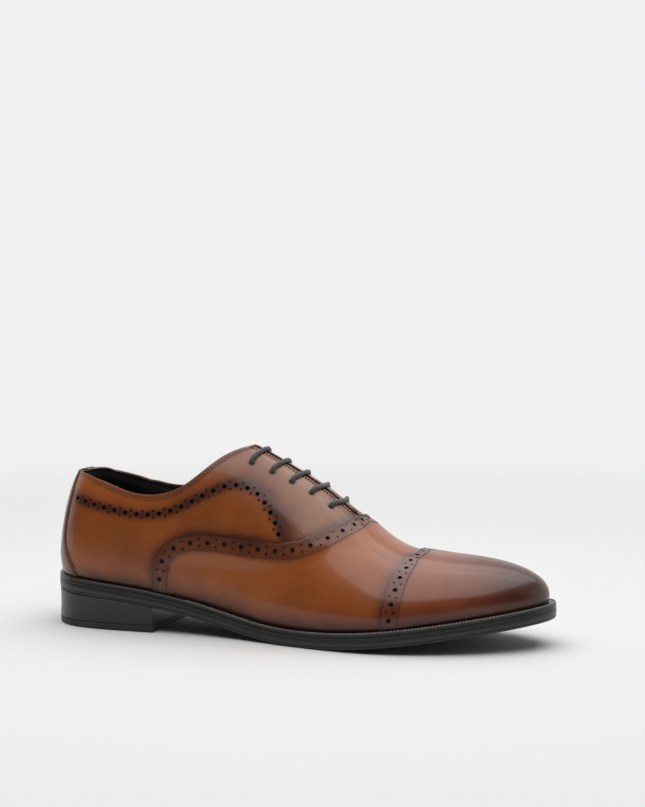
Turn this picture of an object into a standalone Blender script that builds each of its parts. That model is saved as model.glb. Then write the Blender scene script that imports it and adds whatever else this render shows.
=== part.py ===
"""Right foot of a pair of leather oxford shoes with a wing seam, a toe cap and a stacked heel.

The shape is worked out in millimetres, with x = 0 at the back of the heel, +x towards the toe and
+y towards the inner (medial) side. An empty then centres the shoe over its own outline.
"""
import math

import bmesh
import bpy
import numpy as np
from mathutils import Vector

MM = 0.001

# Outsole outline seen from above, outer (lateral) side first, from heel back round the toe.
SOLE = [
    (0, 0), (3.5, -15), (14, -27.5), (32, -33.5), (62, -34.5), (95, -35), (125, -38.5), (155, -45.5),
    (182, -51), (207, -53), (232, -49.5), (256, -41.5), (277, -30), (293, -15.5), (301, 1),
    (298, 15), (286, 26.5), (268, 36), (246, 42.5), (222, 45.5), (197, 43), (170, 35.5),
    (142, 28.5), (112, 26), (82, 28.5), (55, 32), (30, 32.5), (13, 27), (3.5, 15),
]
SOLE_LENGTH = 301.0
WELT_WIDTH = [(0, 2.8), (40, 3.0), (110, 3.6), (170, 4.2), (230, 4.3), (301, 4.5)]

# Height of the feather line, where the upper meets the welt: heel lift, waist, ball and toe spring.
FEATHER = [(0, 30.3), (35, 28.1), (70, 24.3), (105, 18.0), (140, 11.0), (172, 9.6), (205, 11.8),
           (235, 15.6), (265, 20.2), (300, 25.3)]
# Top centre line of the last, seen from the side and from above.
RIDGE = [(28, 104), (50, 109), (75, 112.3), (100, 112.3), (115, 109.8), (126, 105.8), (140, 98.6),
         (155, 90.2), (168, 81.8), (180, 72.6), (190, 65.6), (200, 58.8), (210, 53.4), (222, 50.4),
         (235, 49.6), (250, 48.8)]
RIDGE_SIDE = [(28, 0), (60, 0), (100, 1.0), (140, 2.5), (180, 3.5), (220, 4.5), (255, 5.0)]
RIDGE_HEEL, RIDGE_TOE = 30.0, 48.0
# Fullness of the cross sections, and how far they swell out just above the feather line.
ROUND = [(28, 2.0), (150, 2.0), (185, 2.05), (220, 2.15), (255, 2.2)]
MEDIAL_ROUND = [(28, 2.0), (60, 2.2), (95, 2.6), (180, 2.7), (205, 2.3), (225, 2.15), (255, 2.2)]
BOXY = [(28, 1.9), (60, 1.9), (90, 1.8), (120, 1.7), (150, 1.65), (185, 1.75), (220, 2.1), (255, 2.3)]
SWELL = [(0, 2.0), (60, 2.2), (120, 2.5), (180, 2.0), (230, 1.6), (300, 1.6)]
SWELL_HEIGHT = 14.0

# Seams, as (station along the feather line, share of the way up to the ridge).
TOPLINE = [(3, 0.845), (14, 0.83), (26, 0.778), (38, 0.722), (50, 0.665), (63, 0.633), (76, 0.647),
           (88, 0.712), (99, 0.815), (110, 0.916), (120, 0.983)]
WING = [(71, 0.035), (72.1, 0.179), (73.8, 0.24), (76.7, 0.29), (81.5, 0.343), (87.6, 0.381),
        (100, 0.421), (125.3, 0.468), (150.8, 0.55), (163, 0.627), (174.5, 0.755), (184.9, 0.907),
        (192.9, 1.0)]
STRAP = [(0, 20.5), (0.083, 18.7), (0.148, 15.7), (0.236, 12.2), (0.42, 10.1), (0.63, 9.8), (0.85, 7.1)]
CAP_LEAN = [(0, 0), (0.35, 1.4), (0.57, 3.6), (0.7, 5.5), (0.8, 8), (0.9, 11.4), (0.97, 16), (1, 22)]
CAP = 213.6
CAP_LAP = 6.9
THROAT = 193.0
REAR_LAP = 77.5
FACING_TOP = 120.0
FACING_GAP = 1.3
MEDIAL_STEEP = 0.9
MEDIAL_DIP = 0.012

# Layers, as offsets from the outer face of the quarters.
LEATHER = 1.1
LAP = 1.9
STIFFENER = (-1.6, 0.7)
LINING = (-2.8, 0.8)
LAP_SHARE = 0.11
SEAM_START, SEAM_REACH = 105.0, 79.0
SEAM_LOW, SEAM_RISE = 0.42, 0.5

# Bottom, as depths below the feather line.
GAP = 0.3
WELT = 3.4
OUTSOLE = 5.5
WELT_INSIDE = 3.0
HEEL_BREAST = 71.0
TOP_PIECE = 4.0
NAIL_RADIUS = 1.0
NAIL_LENGTH = 11.0
NAILS = [(12, 0), (22, -19), (22, 17), (50, -23), (50, 20)]
CLEARANCE = 0.35
HEEL_INSET, HEEL_NARROW = 0.6, 1.0
FILLER_START = 127.5
SHANK = (34, 124)
SHANK_WIDTH = (-8, -2, 4)

# Lacing: five pairs of blind eyelets and one round lace in straight bars.
EYELETS = [177.5, 165.1, 152.5, 140.0, 126.9]
EYELET_SIDE = 13.0
EYELET_RADIUS = 1.65
EYELET_WALL = 0.35
FLANGE = 0.5
LACE_RADIUS = 1.1
BAR = 1.8
BAR_LEAN = 5.2
RUN = -6.9
BEND = 1.6
LANE = 3.6
AGLET_LENGTH = 11.0
TAIL_DROPS = (0.06, 0.12, 0.19, 0.26, 0.3)
TAIL_LEAN = 2.5

BARTACK_HALF, BARTACK_LIFT, BARTACK_RADIUS = 1.6, 1.1, 0.7

TONGUE_BASE = 192.0
TONGUE_TOP = 112.0
TONGUE = 1.6
TONGUE_LIFT = [(112, -8.5), (120, -8.8), (130, -8.8), (176, -8.8), (184, -8.0), (192, -6.6)]
TONGUE_HALF = [(112, 13), (130, 17), (160, 22), (192, 18)]

LATERAL, MEDIAL = -1, 1


for leftover in list(bpy.data.objects):
    bpy.data.objects.remove(leftover, do_unlink=True)
for leftover in list(bpy.data.collections):
    bpy.data.collections.remove(leftover)
for leftover in list(bpy.data.materials):
    bpy.data.materials.remove(leftover)

shoe = bpy.data.collections.new("oxford_shoe")
cutters = bpy.data.collections.new("cutters")
for collection in (shoe, cutters):
    bpy.context.scene.collection.children.link(collection)


# Smooth curves

def spline(knots):
    """Natural cubic through (x, y) knots, straight beyond its ends."""
    xs, ys = np.array(knots, float).T
    step = np.diff(xs)
    rise = np.diff(ys) / step
    count = len(xs)
    system = np.eye(count)
    target = np.zeros(count)
    for i in range(1, count - 1):
        system[i, i - 1:i + 2] = step[i - 1], 2 * (step[i - 1] + step[i]), step[i]
        target[i] = 6 * (rise[i] - rise[i - 1])
    bend = np.linalg.solve(system, target)

    def value(x):
        x = np.asarray(x, float)
        inside = np.clip(x, xs[0], xs[-1])
        i = np.clip(np.searchsorted(xs, inside, side="right") - 1, 0, count - 2)
        t = inside - xs[i]
        slope = rise[i] - step[i] * (2 * bend[i] + bend[i + 1]) / 6
        y = ys[i] + t * (slope + t * (bend[i] / 2 + t * (bend[i + 1] - bend[i]) / (6 * step[i])))
        first = rise[0] - step[0] * bend[1] / 6
        last = rise[-1] + step[-1] * bend[-2] / 6
        return y + np.minimum(x - xs[0], 0) * first + np.maximum(x - xs[-1], 0) * last

    return value


def closed_outline(points, count=2400):
    """Periodic cubic through the points, as evenly spaced points."""
    ring = np.array(points * 3, float)
    along = np.concatenate([[0], np.cumsum(np.linalg.norm(np.diff(ring, axis=0), axis=1))])
    fx = spline(np.stack([along, ring[:, 0]], 1))
    fy = spline(np.stack([along, ring[:, 1]], 1))
    size = len(points)
    at = np.linspace(along[size], along[2 * size], count, endpoint=False)
    return np.stack([fx(at), fy(at)], 1)


def inset(loop, width):
    """Moves each point of a clockwise outline inwards by its own width."""
    along = np.roll(loop, -1, 0) - np.roll(loop, 1, 0)
    along /= np.linalg.norm(along, axis=1)[:, None]
    return loop + np.stack([-along[:, 1], along[:, 0]], 1) * np.reshape(width, (-1, 1))


welt_width = spline(WELT_WIDTH)
feather_z = spline(FEATHER)
ridge_z = spline(RIDGE)
ridge_y = spline(RIDGE_SIDE)
round_power = {-1: spline(ROUND), 1: spline(MEDIAL_ROUND)}
box_power = spline(BOXY)
swell = spline(SWELL)
topline = spline(TOPLINE)
cap_lean = spline(CAP_LEAN)
tongue_lift = spline(TONGUE_LIFT)
tongue_half = spline(TONGUE_HALF)

sole_loop = closed_outline(SOLE)
feather_loop = inset(sole_loop, welt_width(sole_loop[:, 0]))
HEEL_BACK = feather_loop[:, 0].min()
TOE_TIP = feather_loop[:, 0].max()
FLOOR = min(feather_z(np.linspace(120, 240, 121))) - WELT - GAP * 2 - OUTSOLE


def edge_of(loop, x, side):
    """y of one side of an outline at x."""
    back = int(np.argmin(loop[:, 0]))
    ring = np.roll(loop, -back, 0)
    tip = int(np.argmax(ring[:, 0]))
    half = ring[:tip + 1] if side == LATERAL else np.vstack([ring[tip:], ring[:1]])[::-1]
    return np.interp(x, half[:, 0], half[:, 1])


def outward(x, side):
    """Unit plan direction out of the feather line at x."""
    ahead, behind = min(x + 0.4, TOE_TIP), max(x - 0.4, HEEL_BACK)
    dx = ahead - behind
    dy = edge_of(feather_loop, ahead, side) - edge_of(feather_loop, behind, side)
    if x >= TOE_TIP - 0.02:
        return np.array([1.0, 0.0])
    if x <= HEEL_BACK + 0.02:
        return np.array([-1.0, 0.0])
    direction = np.array([dy, -dx]) * -side
    return direction / np.linalg.norm(direction)


# The last

def ridge_station(station):
    """Where along the ridge the meridian of this feather station ends."""
    ahead = TOE_TIP - station
    return math.hypot(station, RIDGE_HEEL) - (math.hypot(ahead, RIDGE_TOE) - ahead)


def on_last(station, side, share, offset=0.0):
    """A point of the upper: a station of the feather line, a share of the way up, an offset outwards."""
    station = min(max(station, HEEL_BACK), TOE_TIP)
    share = min(max(share, 0.0), 1.0)
    foot = np.array([station, edge_of(feather_loop, station, side)])
    top_x = ridge_station(station)
    top = np.array([top_x, float(ridge_y(top_x))])
    reach = np.linalg.norm(foot - top)
    low, high = float(feather_z(station)), float(ridge_z(top_x))
    slope = float(ridge_z(top_x + 0.5) - ridge_z(top_x - 0.5))
    spread = (1 - share ** float(box_power(top_x))) ** (1 / float(round_power[side](top_x)))
    rise = min(share * (high - low) / SWELL_HEIGHT, 1.0)
    bulge = float(swell(station)) * math.sin(rise * math.pi / 2) * min(spread * 1.6, 1.0)
    plan = top + (foot - top) * (spread + bulge / reach)
    z = low + share * (high - low) + slope * (plan[0] - top_x) * (1 - spread ** 2)
    out = outward(station, side)
    lean = share * reach / (high - low)
    normal = np.array([spread * out[0] - lean * slope, spread * out[1], lean])
    normal /= np.linalg.norm(normal)
    return np.array([plan[0], plan[1], z]) + normal * offset


def share_at(station, side, distance):
    """The share up at which the last is this far, in plan, from the ridge, or nearer on the steeper side."""
    foot = np.array([station, edge_of(feather_loop, station, side)])
    top_x = ridge_station(station)
    reach = np.linalg.norm(foot - np.array([top_x, float(ridge_y(top_x))]))
    if side == MEDIAL:
        distance = distance * MEDIAL_STEEP
    spread = min(distance / reach, 1.0)
    return (1 - spread ** float(round_power[side](top_x))) ** (1 / float(box_power(top_x)))


def leaning(station, share):
    """Lets the cross seams of the forepart lean forwards towards the top, as the cap seam does."""
    if station < THROAT:
        return station
    if station < CAP:
        weight = (station - THROAT) / (CAP - THROAT)
    else:
        weight = (TOE_TIP - station) / (TOE_TIP - CAP)
    return station + float(cap_lean(share)) * weight


def quarter_top(station, side):
    if station < FACING_TOP:
        return float(topline(station)) - (MEDIAL_DIP if side == MEDIAL and 18 < station < 48 else 0)
    return share_at(station, side, FACING_GAP)


def wing_top(station):
    return float(np.interp(station, *np.array(WING).T))


def lining_seam(station):
    """Where the quarter lining ends and the vamp lining begins, as a share of the height."""
    return SEAM_LOW + SEAM_RISE * ((station - SEAM_START) / SEAM_REACH) ** 2


# Building blocks

def material(name, colour, roughness, metallic=0.0):
    made = bpy.data.materials.new(name)
    made.use_nodes = True
    shader = made.node_tree.nodes["Principled BSDF"]
    shader.inputs["Base Color"].default_value = (*colour, 1)
    shader.inputs["Roughness"].default_value = roughness
    shader.inputs["Metallic"].default_value = metallic
    return made


ORIGIN = bpy.data.objects.new("shoe_origin", None)
shoe.objects.link(ORIGIN)
ORIGIN.location = (
    -SOLE_LENGTH / 2 * MM,
    -(sole_loop[:, 1].min() + sole_loop[:, 1].max()) / 2 * MM,
    -FLOOR * MM,
)


def add_object(name, mesh, look, collection=shoe, place=(0, 0, 0)):
    made = bpy.data.objects.new(name, mesh)
    if look:
        mesh.materials.append(look)
    collection.objects.link(made)
    made.parent = ORIGIN
    made.location = Vector(place) * MM
    if collection is cutters:
        made.hide_render = True
        made.display_type = "WIRE"
    return made


def loft(name, strips, look, place=(0, 0, 0)):
    """An open surface through strips of points, merged where the strips share points."""
    shape = bmesh.new()
    seen = {}

    def corner(point):
        key = tuple(np.round(point, 3))
        if key not in seen:
            seen[key] = shape.verts.new((Vector(point) - Vector(place)) * MM)
        return seen[key]

    for strip in strips:
        rows = [[corner(point) for point in row] for row in strip]
        for row, above in zip(rows, rows[1:]):
            for a, b, c, d in zip(row, row[1:], above[1:], above):
                ring = list(dict.fromkeys((a, b, c, d)))
                if len(ring) > 2:
                    shape.faces.new(ring)
    bmesh.ops.remove_doubles(shape, verts=shape.verts, dist=0.02 * MM)
    bmesh.ops.recalc_face_normals(shape, faces=shape.faces)
    mesh = bpy.data.meshes.new(name)
    shape.to_mesh(mesh)
    shape.free()
    mesh.shade_smooth()
    return add_object(name, mesh, look, place=place)


def thicken(target, thickness, outward_test):
    """Gives an open surface a wall on its inner side."""
    mesh = target.data
    centre, facing = outward_test
    polygon = min(mesh.polygons, key=lambda face: (face.center - Vector(centre) * MM).length)
    if polygon.normal.dot(Vector(facing)) < 0:
        mesh.flip_normals()
    wall = target.modifiers.new("Wall", "SOLIDIFY")
    wall.thickness = thickness * MM
    wall.offset = -1
    wall.use_even_offset = True
    return target


def upper_panel(name, columns, sides, low, high, lift, thickness, look, rows):
    """A panel of the upper, between two heights given as functions of the station and side."""
    strips = []
    for side in sides:
        strip = []
        for station in columns:
            bottom, top = low(station, side), high(station, side)
            row = []
            for part in rows:
                share = math.sin(math.asin(bottom) + (math.asin(top) - math.asin(bottom)) * part)
                row.append(on_last(leaning(station, share), side, share, lift(station)))
            strip.append(row)
        strips.append(strip)
    made = loft(name, strips, look)
    middle = columns[len(columns) // 2]
    share = (low(middle, sides[0]) + high(middle, sides[0])) / 2
    inner = on_last(middle, sides[0], share, 0)
    outer = on_last(middle, sides[0], share, 1)
    return thicken(made, thickness, (inner, outer - inner))


def flat_layer(name, first, last, margin, top, thickness, look, columns=26, across=4):
    """A layer of the bottom: the outline inset by a margin, its top a depth below the feather line."""
    loop = inset(sole_loop, margin(sole_loop[:, 0]))
    start, end = max(first, loop[:, 0].min()), min(last, loop[:, 0].max())
    strip = []
    for i in range(columns + 1):
        turn = i / columns
        if first < loop[:, 0].min() and last > loop[:, 0].max():
            turn = (1 - math.cos(math.pi * turn)) / 2
        elif last > loop[:, 0].max():
            turn = math.sin(math.pi / 2 * turn)
        elif first < loop[:, 0].min():
            turn = 1 - math.cos(math.pi / 2 * turn)
        x = start + (end - start) * turn
        left, right = edge_of(loop, x, LATERAL), edge_of(loop, x, MEDIAL)
        z = float(feather_z(x)) - top
        strip.append([(x, left + (right - left) * j / across, z) for j in range(across + 1)])
    made = loft(name, [strip], look)
    middle = strip[len(strip) // 2][across // 2]
    return thicken(made, thickness, (middle, (0, 0, 1)))


def cut(target, cutter, name):
    slot = target.modifiers.new(name, "BOOLEAN")
    slot.operation = "DIFFERENCE"
    slot.object = cutter


def rods(name, ends, radius, look=None, collection=cutters, sides=12):
    """Straight round bars between pairs of points, in one mesh."""
    shape = bmesh.new()
    for start, end in ends:
        axis = Vector(end) - Vector(start)
        turn = axis.to_track_quat("Z", "Y").to_matrix().to_4x4()
        turn.translation = (Vector(start) + Vector(end)) / 2 * MM
        bmesh.ops.create_cone(shape, cap_ends=True, segments=sides, radius1=radius * MM,
                              radius2=radius * MM, depth=axis.length * MM, matrix=turn)
    mesh = bpy.data.meshes.new(name)
    shape.to_mesh(mesh)
    shape.free()
    return add_object(name, mesh, look, collection)


# Materials

brown = material("brown_calf", (0.30, 0.105, 0.04), 0.3)
burnished = material("burnished_calf", (0.16, 0.045, 0.025), 0.28)
dark_lining = material("lining_leather", (0.02, 0.018, 0.016), 0.6)
board = material("fibre_board", (0.42, 0.3, 0.17), 0.8)
cork = material("cork", (0.45, 0.28, 0.14), 0.9)
black_sole = material("black_sole_leather", (0.022, 0.022, 0.024), 0.45)
rubber = material("black_rubber", (0.014, 0.014, 0.015), 0.7)
steel = material("steel", (0.5, 0.5, 0.52), 0.35, 1.0)
brass = material("brass", (0.6, 0.42, 0.18), 0.35, 1.0)
cotton = material("waxed_cotton", (0.045, 0.045, 0.05), 0.65)
thread = material("thread", (0.14, 0.055, 0.035), 0.7)

# Columns along the feather line, closer together round the heel and the toe.
HEEL_COLUMNS = [HEEL_BACK, 3.3, 5.0, 8.0, 12.5, 18.5]
SIDE_COLUMNS = [26, 36, 47, 59, 71, 82, 93, 104, 112, 120, 129, 138, 148, 158, 168, 176, 184, 192.9]
TOE_COLUMNS = [228, 238, 248, 258, 267, 275, 282, 288, 292.5, 295.5, TOE_TIP]
EVEN_ROWS = [i / 8 for i in range(9)]
LINING_ROWS = [i / 6 for i in range(7)]


def ground(station, side):
    return 0.0


def ridge_line(station, side):
    return 1.0


# Upper

def build_upper():
    def vamp_lift(station, share, top):
        under_lap = station < REAR_LAP or (station < THROAT and share > top - LAP_SHARE)
        return LAP if under_lap else 0.0

    vamp_columns = [71.2, 73.8, 76.7, 78.4, 82, 88, 95, 104, 112, 120, 129, 138, 148, 158, 168, 176,
                    184, 192.9, 203, 219]
    strips = []
    for side in (LATERAL, MEDIAL):
        strip = []
        for station in vamp_columns:
            if station < THROAT - 0.2:
                top = wing_top(station)
                lap = math.asin(max(top - LAP_SHARE - 0.02, 0.016))
                shares = [math.sin(lap * part / 5) for part in range(6)]
                shares += [max(top - LAP_SHARE + 0.008, shares[-1] + 0.005), max(top - 0.05, shares[-1] + 0.01), top]
            else:
                top = 1.0
                shares = [math.sin(math.pi / 2 * part) for part in EVEN_ROWS]
            strip.append([on_last(leaning(station, s), side, s, vamp_lift(station, s, top))
                          for s in shares])
        strips.append(strip)
    vamp = loft("vamp", strips, brown)
    thicken(vamp, LEATHER, (on_last(203, LATERAL, 0.4), (0, -1, 0)))

    def cap_lift(station):
        return LAP if station < CAP + CAP_LAP else 0.0

    upper_panel("toe_cap", [CAP, CAP + CAP_LAP - 0.3, CAP + CAP_LAP + 1.3] + TOE_COLUMNS, (LATERAL, MEDIAL), ground, ridge_line,
                cap_lift, LEATHER, burnished, EVEN_ROWS)

    def quarter_low(station, side):
        if station <= 75.2:
            return 0.0
        return wing_top(station) - LAP_SHARE + 0.045

    def flush(station):
        return 0.0

    columns = [5.0, 8.0, 12.5, 18.5, 26, 36, 47, 59, 71.2, 73.8, 75.2, 76.2, 82, 88, 95, 104, 112, 120, 129,
               138, 148, 158, 168, 176, 184]
    for name, side in (("quarter_lateral", LATERAL), ("quarter_medial", MEDIAL)):
        upper_panel(name, columns, (side,), quarter_low, quarter_top, flush, LEATHER, brown,
                    EVEN_ROWS)

    strap_edge = spline(STRAP)
    strips = []
    for side in (LATERAL, MEDIAL):
        strip = []
        for share in (0, 0.08, 0.18, 0.3, 0.44, 0.58, 0.72, 0.842):
            edge = float(strap_edge(share))
            stations = [HEEL_BACK + (edge - HEEL_BACK) * part ** 2 for part in (0, 0.3, 0.55, 0.8, 1)]
            strip.append([on_last(s, side, share, LAP) for s in stations])
        strips.append(strip)
    strap = loft("back_strap", strips, burnished)
    thicken(strap, LEATHER, (on_last(HEEL_BACK, LATERAL, 0.4), (-1, 0, 0)))


def build_inside():
    def lining_lift(station):
        return LINING[0]

    def stiffener_lift(station):
        return STIFFENER[0]

    def lining_top(station, side):
        return quarter_top(station, side) - (0.008 if station < FACING_TOP else 0)

    def lining_low(station, side):
        return 0.0 if station < SEAM_START else lining_seam(station)

    back = HEEL_COLUMNS[1:] + [26, 36, 47, 59, 71, 82, 93, 104.4, 105.2, 112, 120, 129, 138, 148, 158, 168, 176, 184]
    for name, side in (("quarter_lining_lateral", LATERAL), ("quarter_lining_medial", MEDIAL)):
        upper_panel(name, back, (side,), lining_low, lining_top, lining_lift, LINING[1], dark_lining,
                    EVEN_ROWS)

    def vamp_lining_top(station, side):
        if station >= THROAT - 0.2:
            return 1.0
        return lining_seam(station) - 0.02

    upper_panel("vamp_lining", [106.5, 112, 120, 129, 138, 148, 158, 168, 176, 184, 192.9, 203, 215]
                + TOE_COLUMNS, (LATERAL, MEDIAL), ground, vamp_lining_top, lining_lift, LINING[1],
                dark_lining, LINING_ROWS)

    upper_panel("toe_puff", [238, 248, 258, 267, 275, 282, 288, 292.5, 295.5, TOE_TIP],
                (LATERAL, MEDIAL), ground, ridge_line, stiffener_lift, STIFFENER[1], board,
                LINING_ROWS)

    def counter_top(station, side):
        return 0.66 - 0.5 * max(0.0, (station - 30) / 40) ** 2

    upper_panel("heel_counter", HEEL_COLUMNS + [26, 36, 47, 59, 66], (LATERAL, MEDIAL), ground,
                counter_top, stiffener_lift, STIFFENER[1], board, [0, 0.15, 0.35, 0.6, 0.8, 1])

    def stay_low(station, side):
        return share_at(station, side, EYELET_SIDE + 6)

    def stay_high(station, side):
        return share_at(station, side, FACING_GAP + 1)

    for name, side in (("facing_stay_lateral", LATERAL), ("facing_stay_medial", MEDIAL)):
        upper_panel(name, [122, 129, 138, 148, 158, 168, 176, 181], (side,), stay_low, stay_high,
                    stiffener_lift, STIFFENER[1], board, LINING_ROWS)


def build_tongue():
    hinge = on_last(TONGUE_BASE, LATERAL, 1.0, float(tongue_lift(TONGUE_BASE)) - TONGUE / 2)
    strips = []
    for side in (LATERAL, MEDIAL):
        strip = []
        for station in (TONGUE_TOP, 114, 118, 124, 132, 142, 152, 162, 172, 178, 184, TONGUE_BASE):
            row = []
            for part in (1, 0.8, 0.55, 0.28, 0):
                share = share_at(station, side, float(tongue_half(station)) * part)
                row.append(on_last(station, side, share, float(tongue_lift(station))))
            strip.append(row)
        strips.append(strip)
    tongue = loft("tongue", strips, brown, place=hinge)
    top = on_last(150, LATERAL, 1.0, float(tongue_lift(150)))
    return thicken(tongue, TONGUE, (top - hinge, (0, 0, 1)))


# Lacing

def eyelet_point(station, side, offset, aside=0.0):
    share = share_at(station, side, EYELET_SIDE + aside)
    return on_last(station, side, share, offset)


def build_eyelets():
    profile = [
        (EYELET_RADIUS, 0.0), (EYELET_RADIUS, -5.2), (EYELET_RADIUS + EYELET_WALL + FLANGE, -5.2),
        (EYELET_RADIUS + EYELET_WALL + FLANGE, -4.95), (EYELET_RADIUS + EYELET_WALL, -4.95),
        (EYELET_RADIUS + EYELET_WALL, 0.0),
    ]
    segments = 10
    shape = bmesh.new()
    corners = [shape.verts.new((radius * MM, 0, z * MM)) for radius, z in profile]
    edges = [shape.edges.new(pair) for pair in zip(corners, corners[1:] + corners[:1])]
    bmesh.ops.spin(shape, geom=corners + edges, axis=(0, 0, 1), cent=(0, 0, 0), steps=segments,
                   angle=2 * math.pi, use_merge=True)
    bmesh.ops.remove_doubles(shape, verts=shape.verts, dist=0.00001)
    bmesh.ops.recalc_face_normals(shape, faces=shape.faces)
    mesh = bpy.data.meshes.new("blind_eyelet")
    shape.to_mesh(mesh)
    shape.free()
    mesh.materials.append(brass)
    for label, side in (("lateral", LATERAL), ("medial", MEDIAL)):
        bores = []
        for number, station in enumerate(EYELETS, 1):
            outer = eyelet_point(station, side, 0.0)
            inner = eyelet_point(station, side, -4.0)
            ring = add_object(f"eyelet_{label}_{number}", mesh, None, place=outer)
            ring.rotation_euler = Vector(outer - inner).to_track_quat("Z", "Y").to_euler()
            bores.append((eyelet_point(station, side, -7), eyelet_point(station, side, 3)))
        bore = rods(f"bores_{label}", bores, EYELET_RADIUS + EYELET_WALL + CLEARANCE)
        for part in ("quarter", "quarter_lining", "facing_stay"):
            cut(bpy.data.objects[f"{part}_{label}"], bore, "Eyelets")


def bar_points(number, first):
    """The part of the lace that crosses over the throat, from one side to the other."""
    points = []
    for side, order in ((first, (7.5, 2.4)), (-first, (2.4, 7.5))):
        for distance in order:
            station = EYELETS[number] + BAR_LEAN * (1 - distance / EYELET_SIDE)
            points.append(on_last(station, side, share_at(station, side, distance), BAR))
    return points


def eyelet_turn(station, side, away_below):
    """Down through one eyelet: a bend from the bar, a straight drop and a bend into the run."""
    lean = 0.3 * BEND
    above = [
        on_last(station, side, share_at(station, side, EYELET_SIDE - BEND), BAR),
        on_last(station, side, share_at(station, side, EYELET_SIDE - lean), BAR - lean),
        eyelet_point(station, side, BAR - BEND),
    ]
    step, aside = away_below
    below = [
        eyelet_point(station, side, RUN + BEND),
        eyelet_point(station + step * lean, side, RUN + lean, aside * lean),
        eyelet_point(station + step * BEND, side, RUN, aside * BEND),
    ]
    return above + below


def build_lace():
    def run(first, last, side, lane):
        """Under one facing, from eyelet to eyelet, past any eyelet between them in its own lane."""
        start, end = EYELETS[first], EYELETS[last]
        if not lane:
            return [eyelet_point((start + end) / 2, side, RUN)]
        return [eyelet_point(start + (end - start) * part, side, RUN, lane) for part in (0.35, 0.65)]

    def tail(number, side):
        """The tucked end, lying down the inside of the quarter."""
        station = EYELETS[number]
        start = share_at(station, side, EYELET_SIDE)
        return [on_last(station, side, start - drop, RUN - drop * TAIL_LEAN) for drop in TAIL_DROPS]

    back, forward, aside = (-1, 0), (1, 0), (0, 1)
    route = tail(3, LATERAL)[::-1] + eyelet_turn(EYELETS[3], LATERAL, aside)[::-1]
    route += bar_points(3, LATERAL) + eyelet_turn(EYELETS[3], MEDIAL, forward)
    route += run(3, 1, MEDIAL, LANE) + eyelet_turn(EYELETS[1], MEDIAL, back)[::-1]
    route += bar_points(1, MEDIAL) + eyelet_turn(EYELETS[1], LATERAL, forward)
    route += run(1, 0, LATERAL, 0) + eyelet_turn(EYELETS[0], LATERAL, back)[::-1]
    route += bar_points(0, LATERAL) + eyelet_turn(EYELETS[0], MEDIAL, back)
    route += run(0, 2, MEDIAL, -LANE) + eyelet_turn(EYELETS[2], MEDIAL, forward)[::-1]
    route += bar_points(2, MEDIAL) + eyelet_turn(EYELETS[2], LATERAL, back)
    route += run(2, 4, LATERAL, -LANE) + eyelet_turn(EYELETS[4], LATERAL, forward)[::-1]
    route += bar_points(4, LATERAL) + eyelet_turn(EYELETS[4], MEDIAL, aside) + tail(4, MEDIAL)

    curve = bpy.data.curves.new("lace", "CURVE")
    curve.dimensions = "3D"
    curve.bevel_depth = LACE_RADIUS * MM
    curve.bevel_resolution = 2
    curve.use_fill_caps = True
    line = curve.splines.new("POLY")
    line.points.add(len(route) - 1)
    for point, place in zip(line.points, route):
        point.co = (*(Vector(place) * MM), 1)
    lace = bpy.data.objects.new("lace", curve)
    curve.materials.append(cotton)
    shoe.objects.link(lace)
    lace.parent = ORIGIN

    for name, end, before in (("aglet_lateral", route[0], route[1]), ("aglet_medial", route[-1], route[-2])):
        way = (end - before) / np.linalg.norm(end - before)
        rods(name, [(end + way * GAP, end + way * (GAP + AGLET_LENGTH))], LACE_RADIUS, steel, shoe, 8)


def build_bartack():
    """The small stitched bar that closes the bottom of the throat."""
    station = THROAT - 4
    corners = [on_last(station, side, share_at(station, side, BARTACK_HALF), BARTACK_LIFT)
               for side in (LATERAL, MEDIAL)]
    rods("throat_bartack", [corners], BARTACK_RADIUS, thread, shoe, 8)


# Bottom

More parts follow.
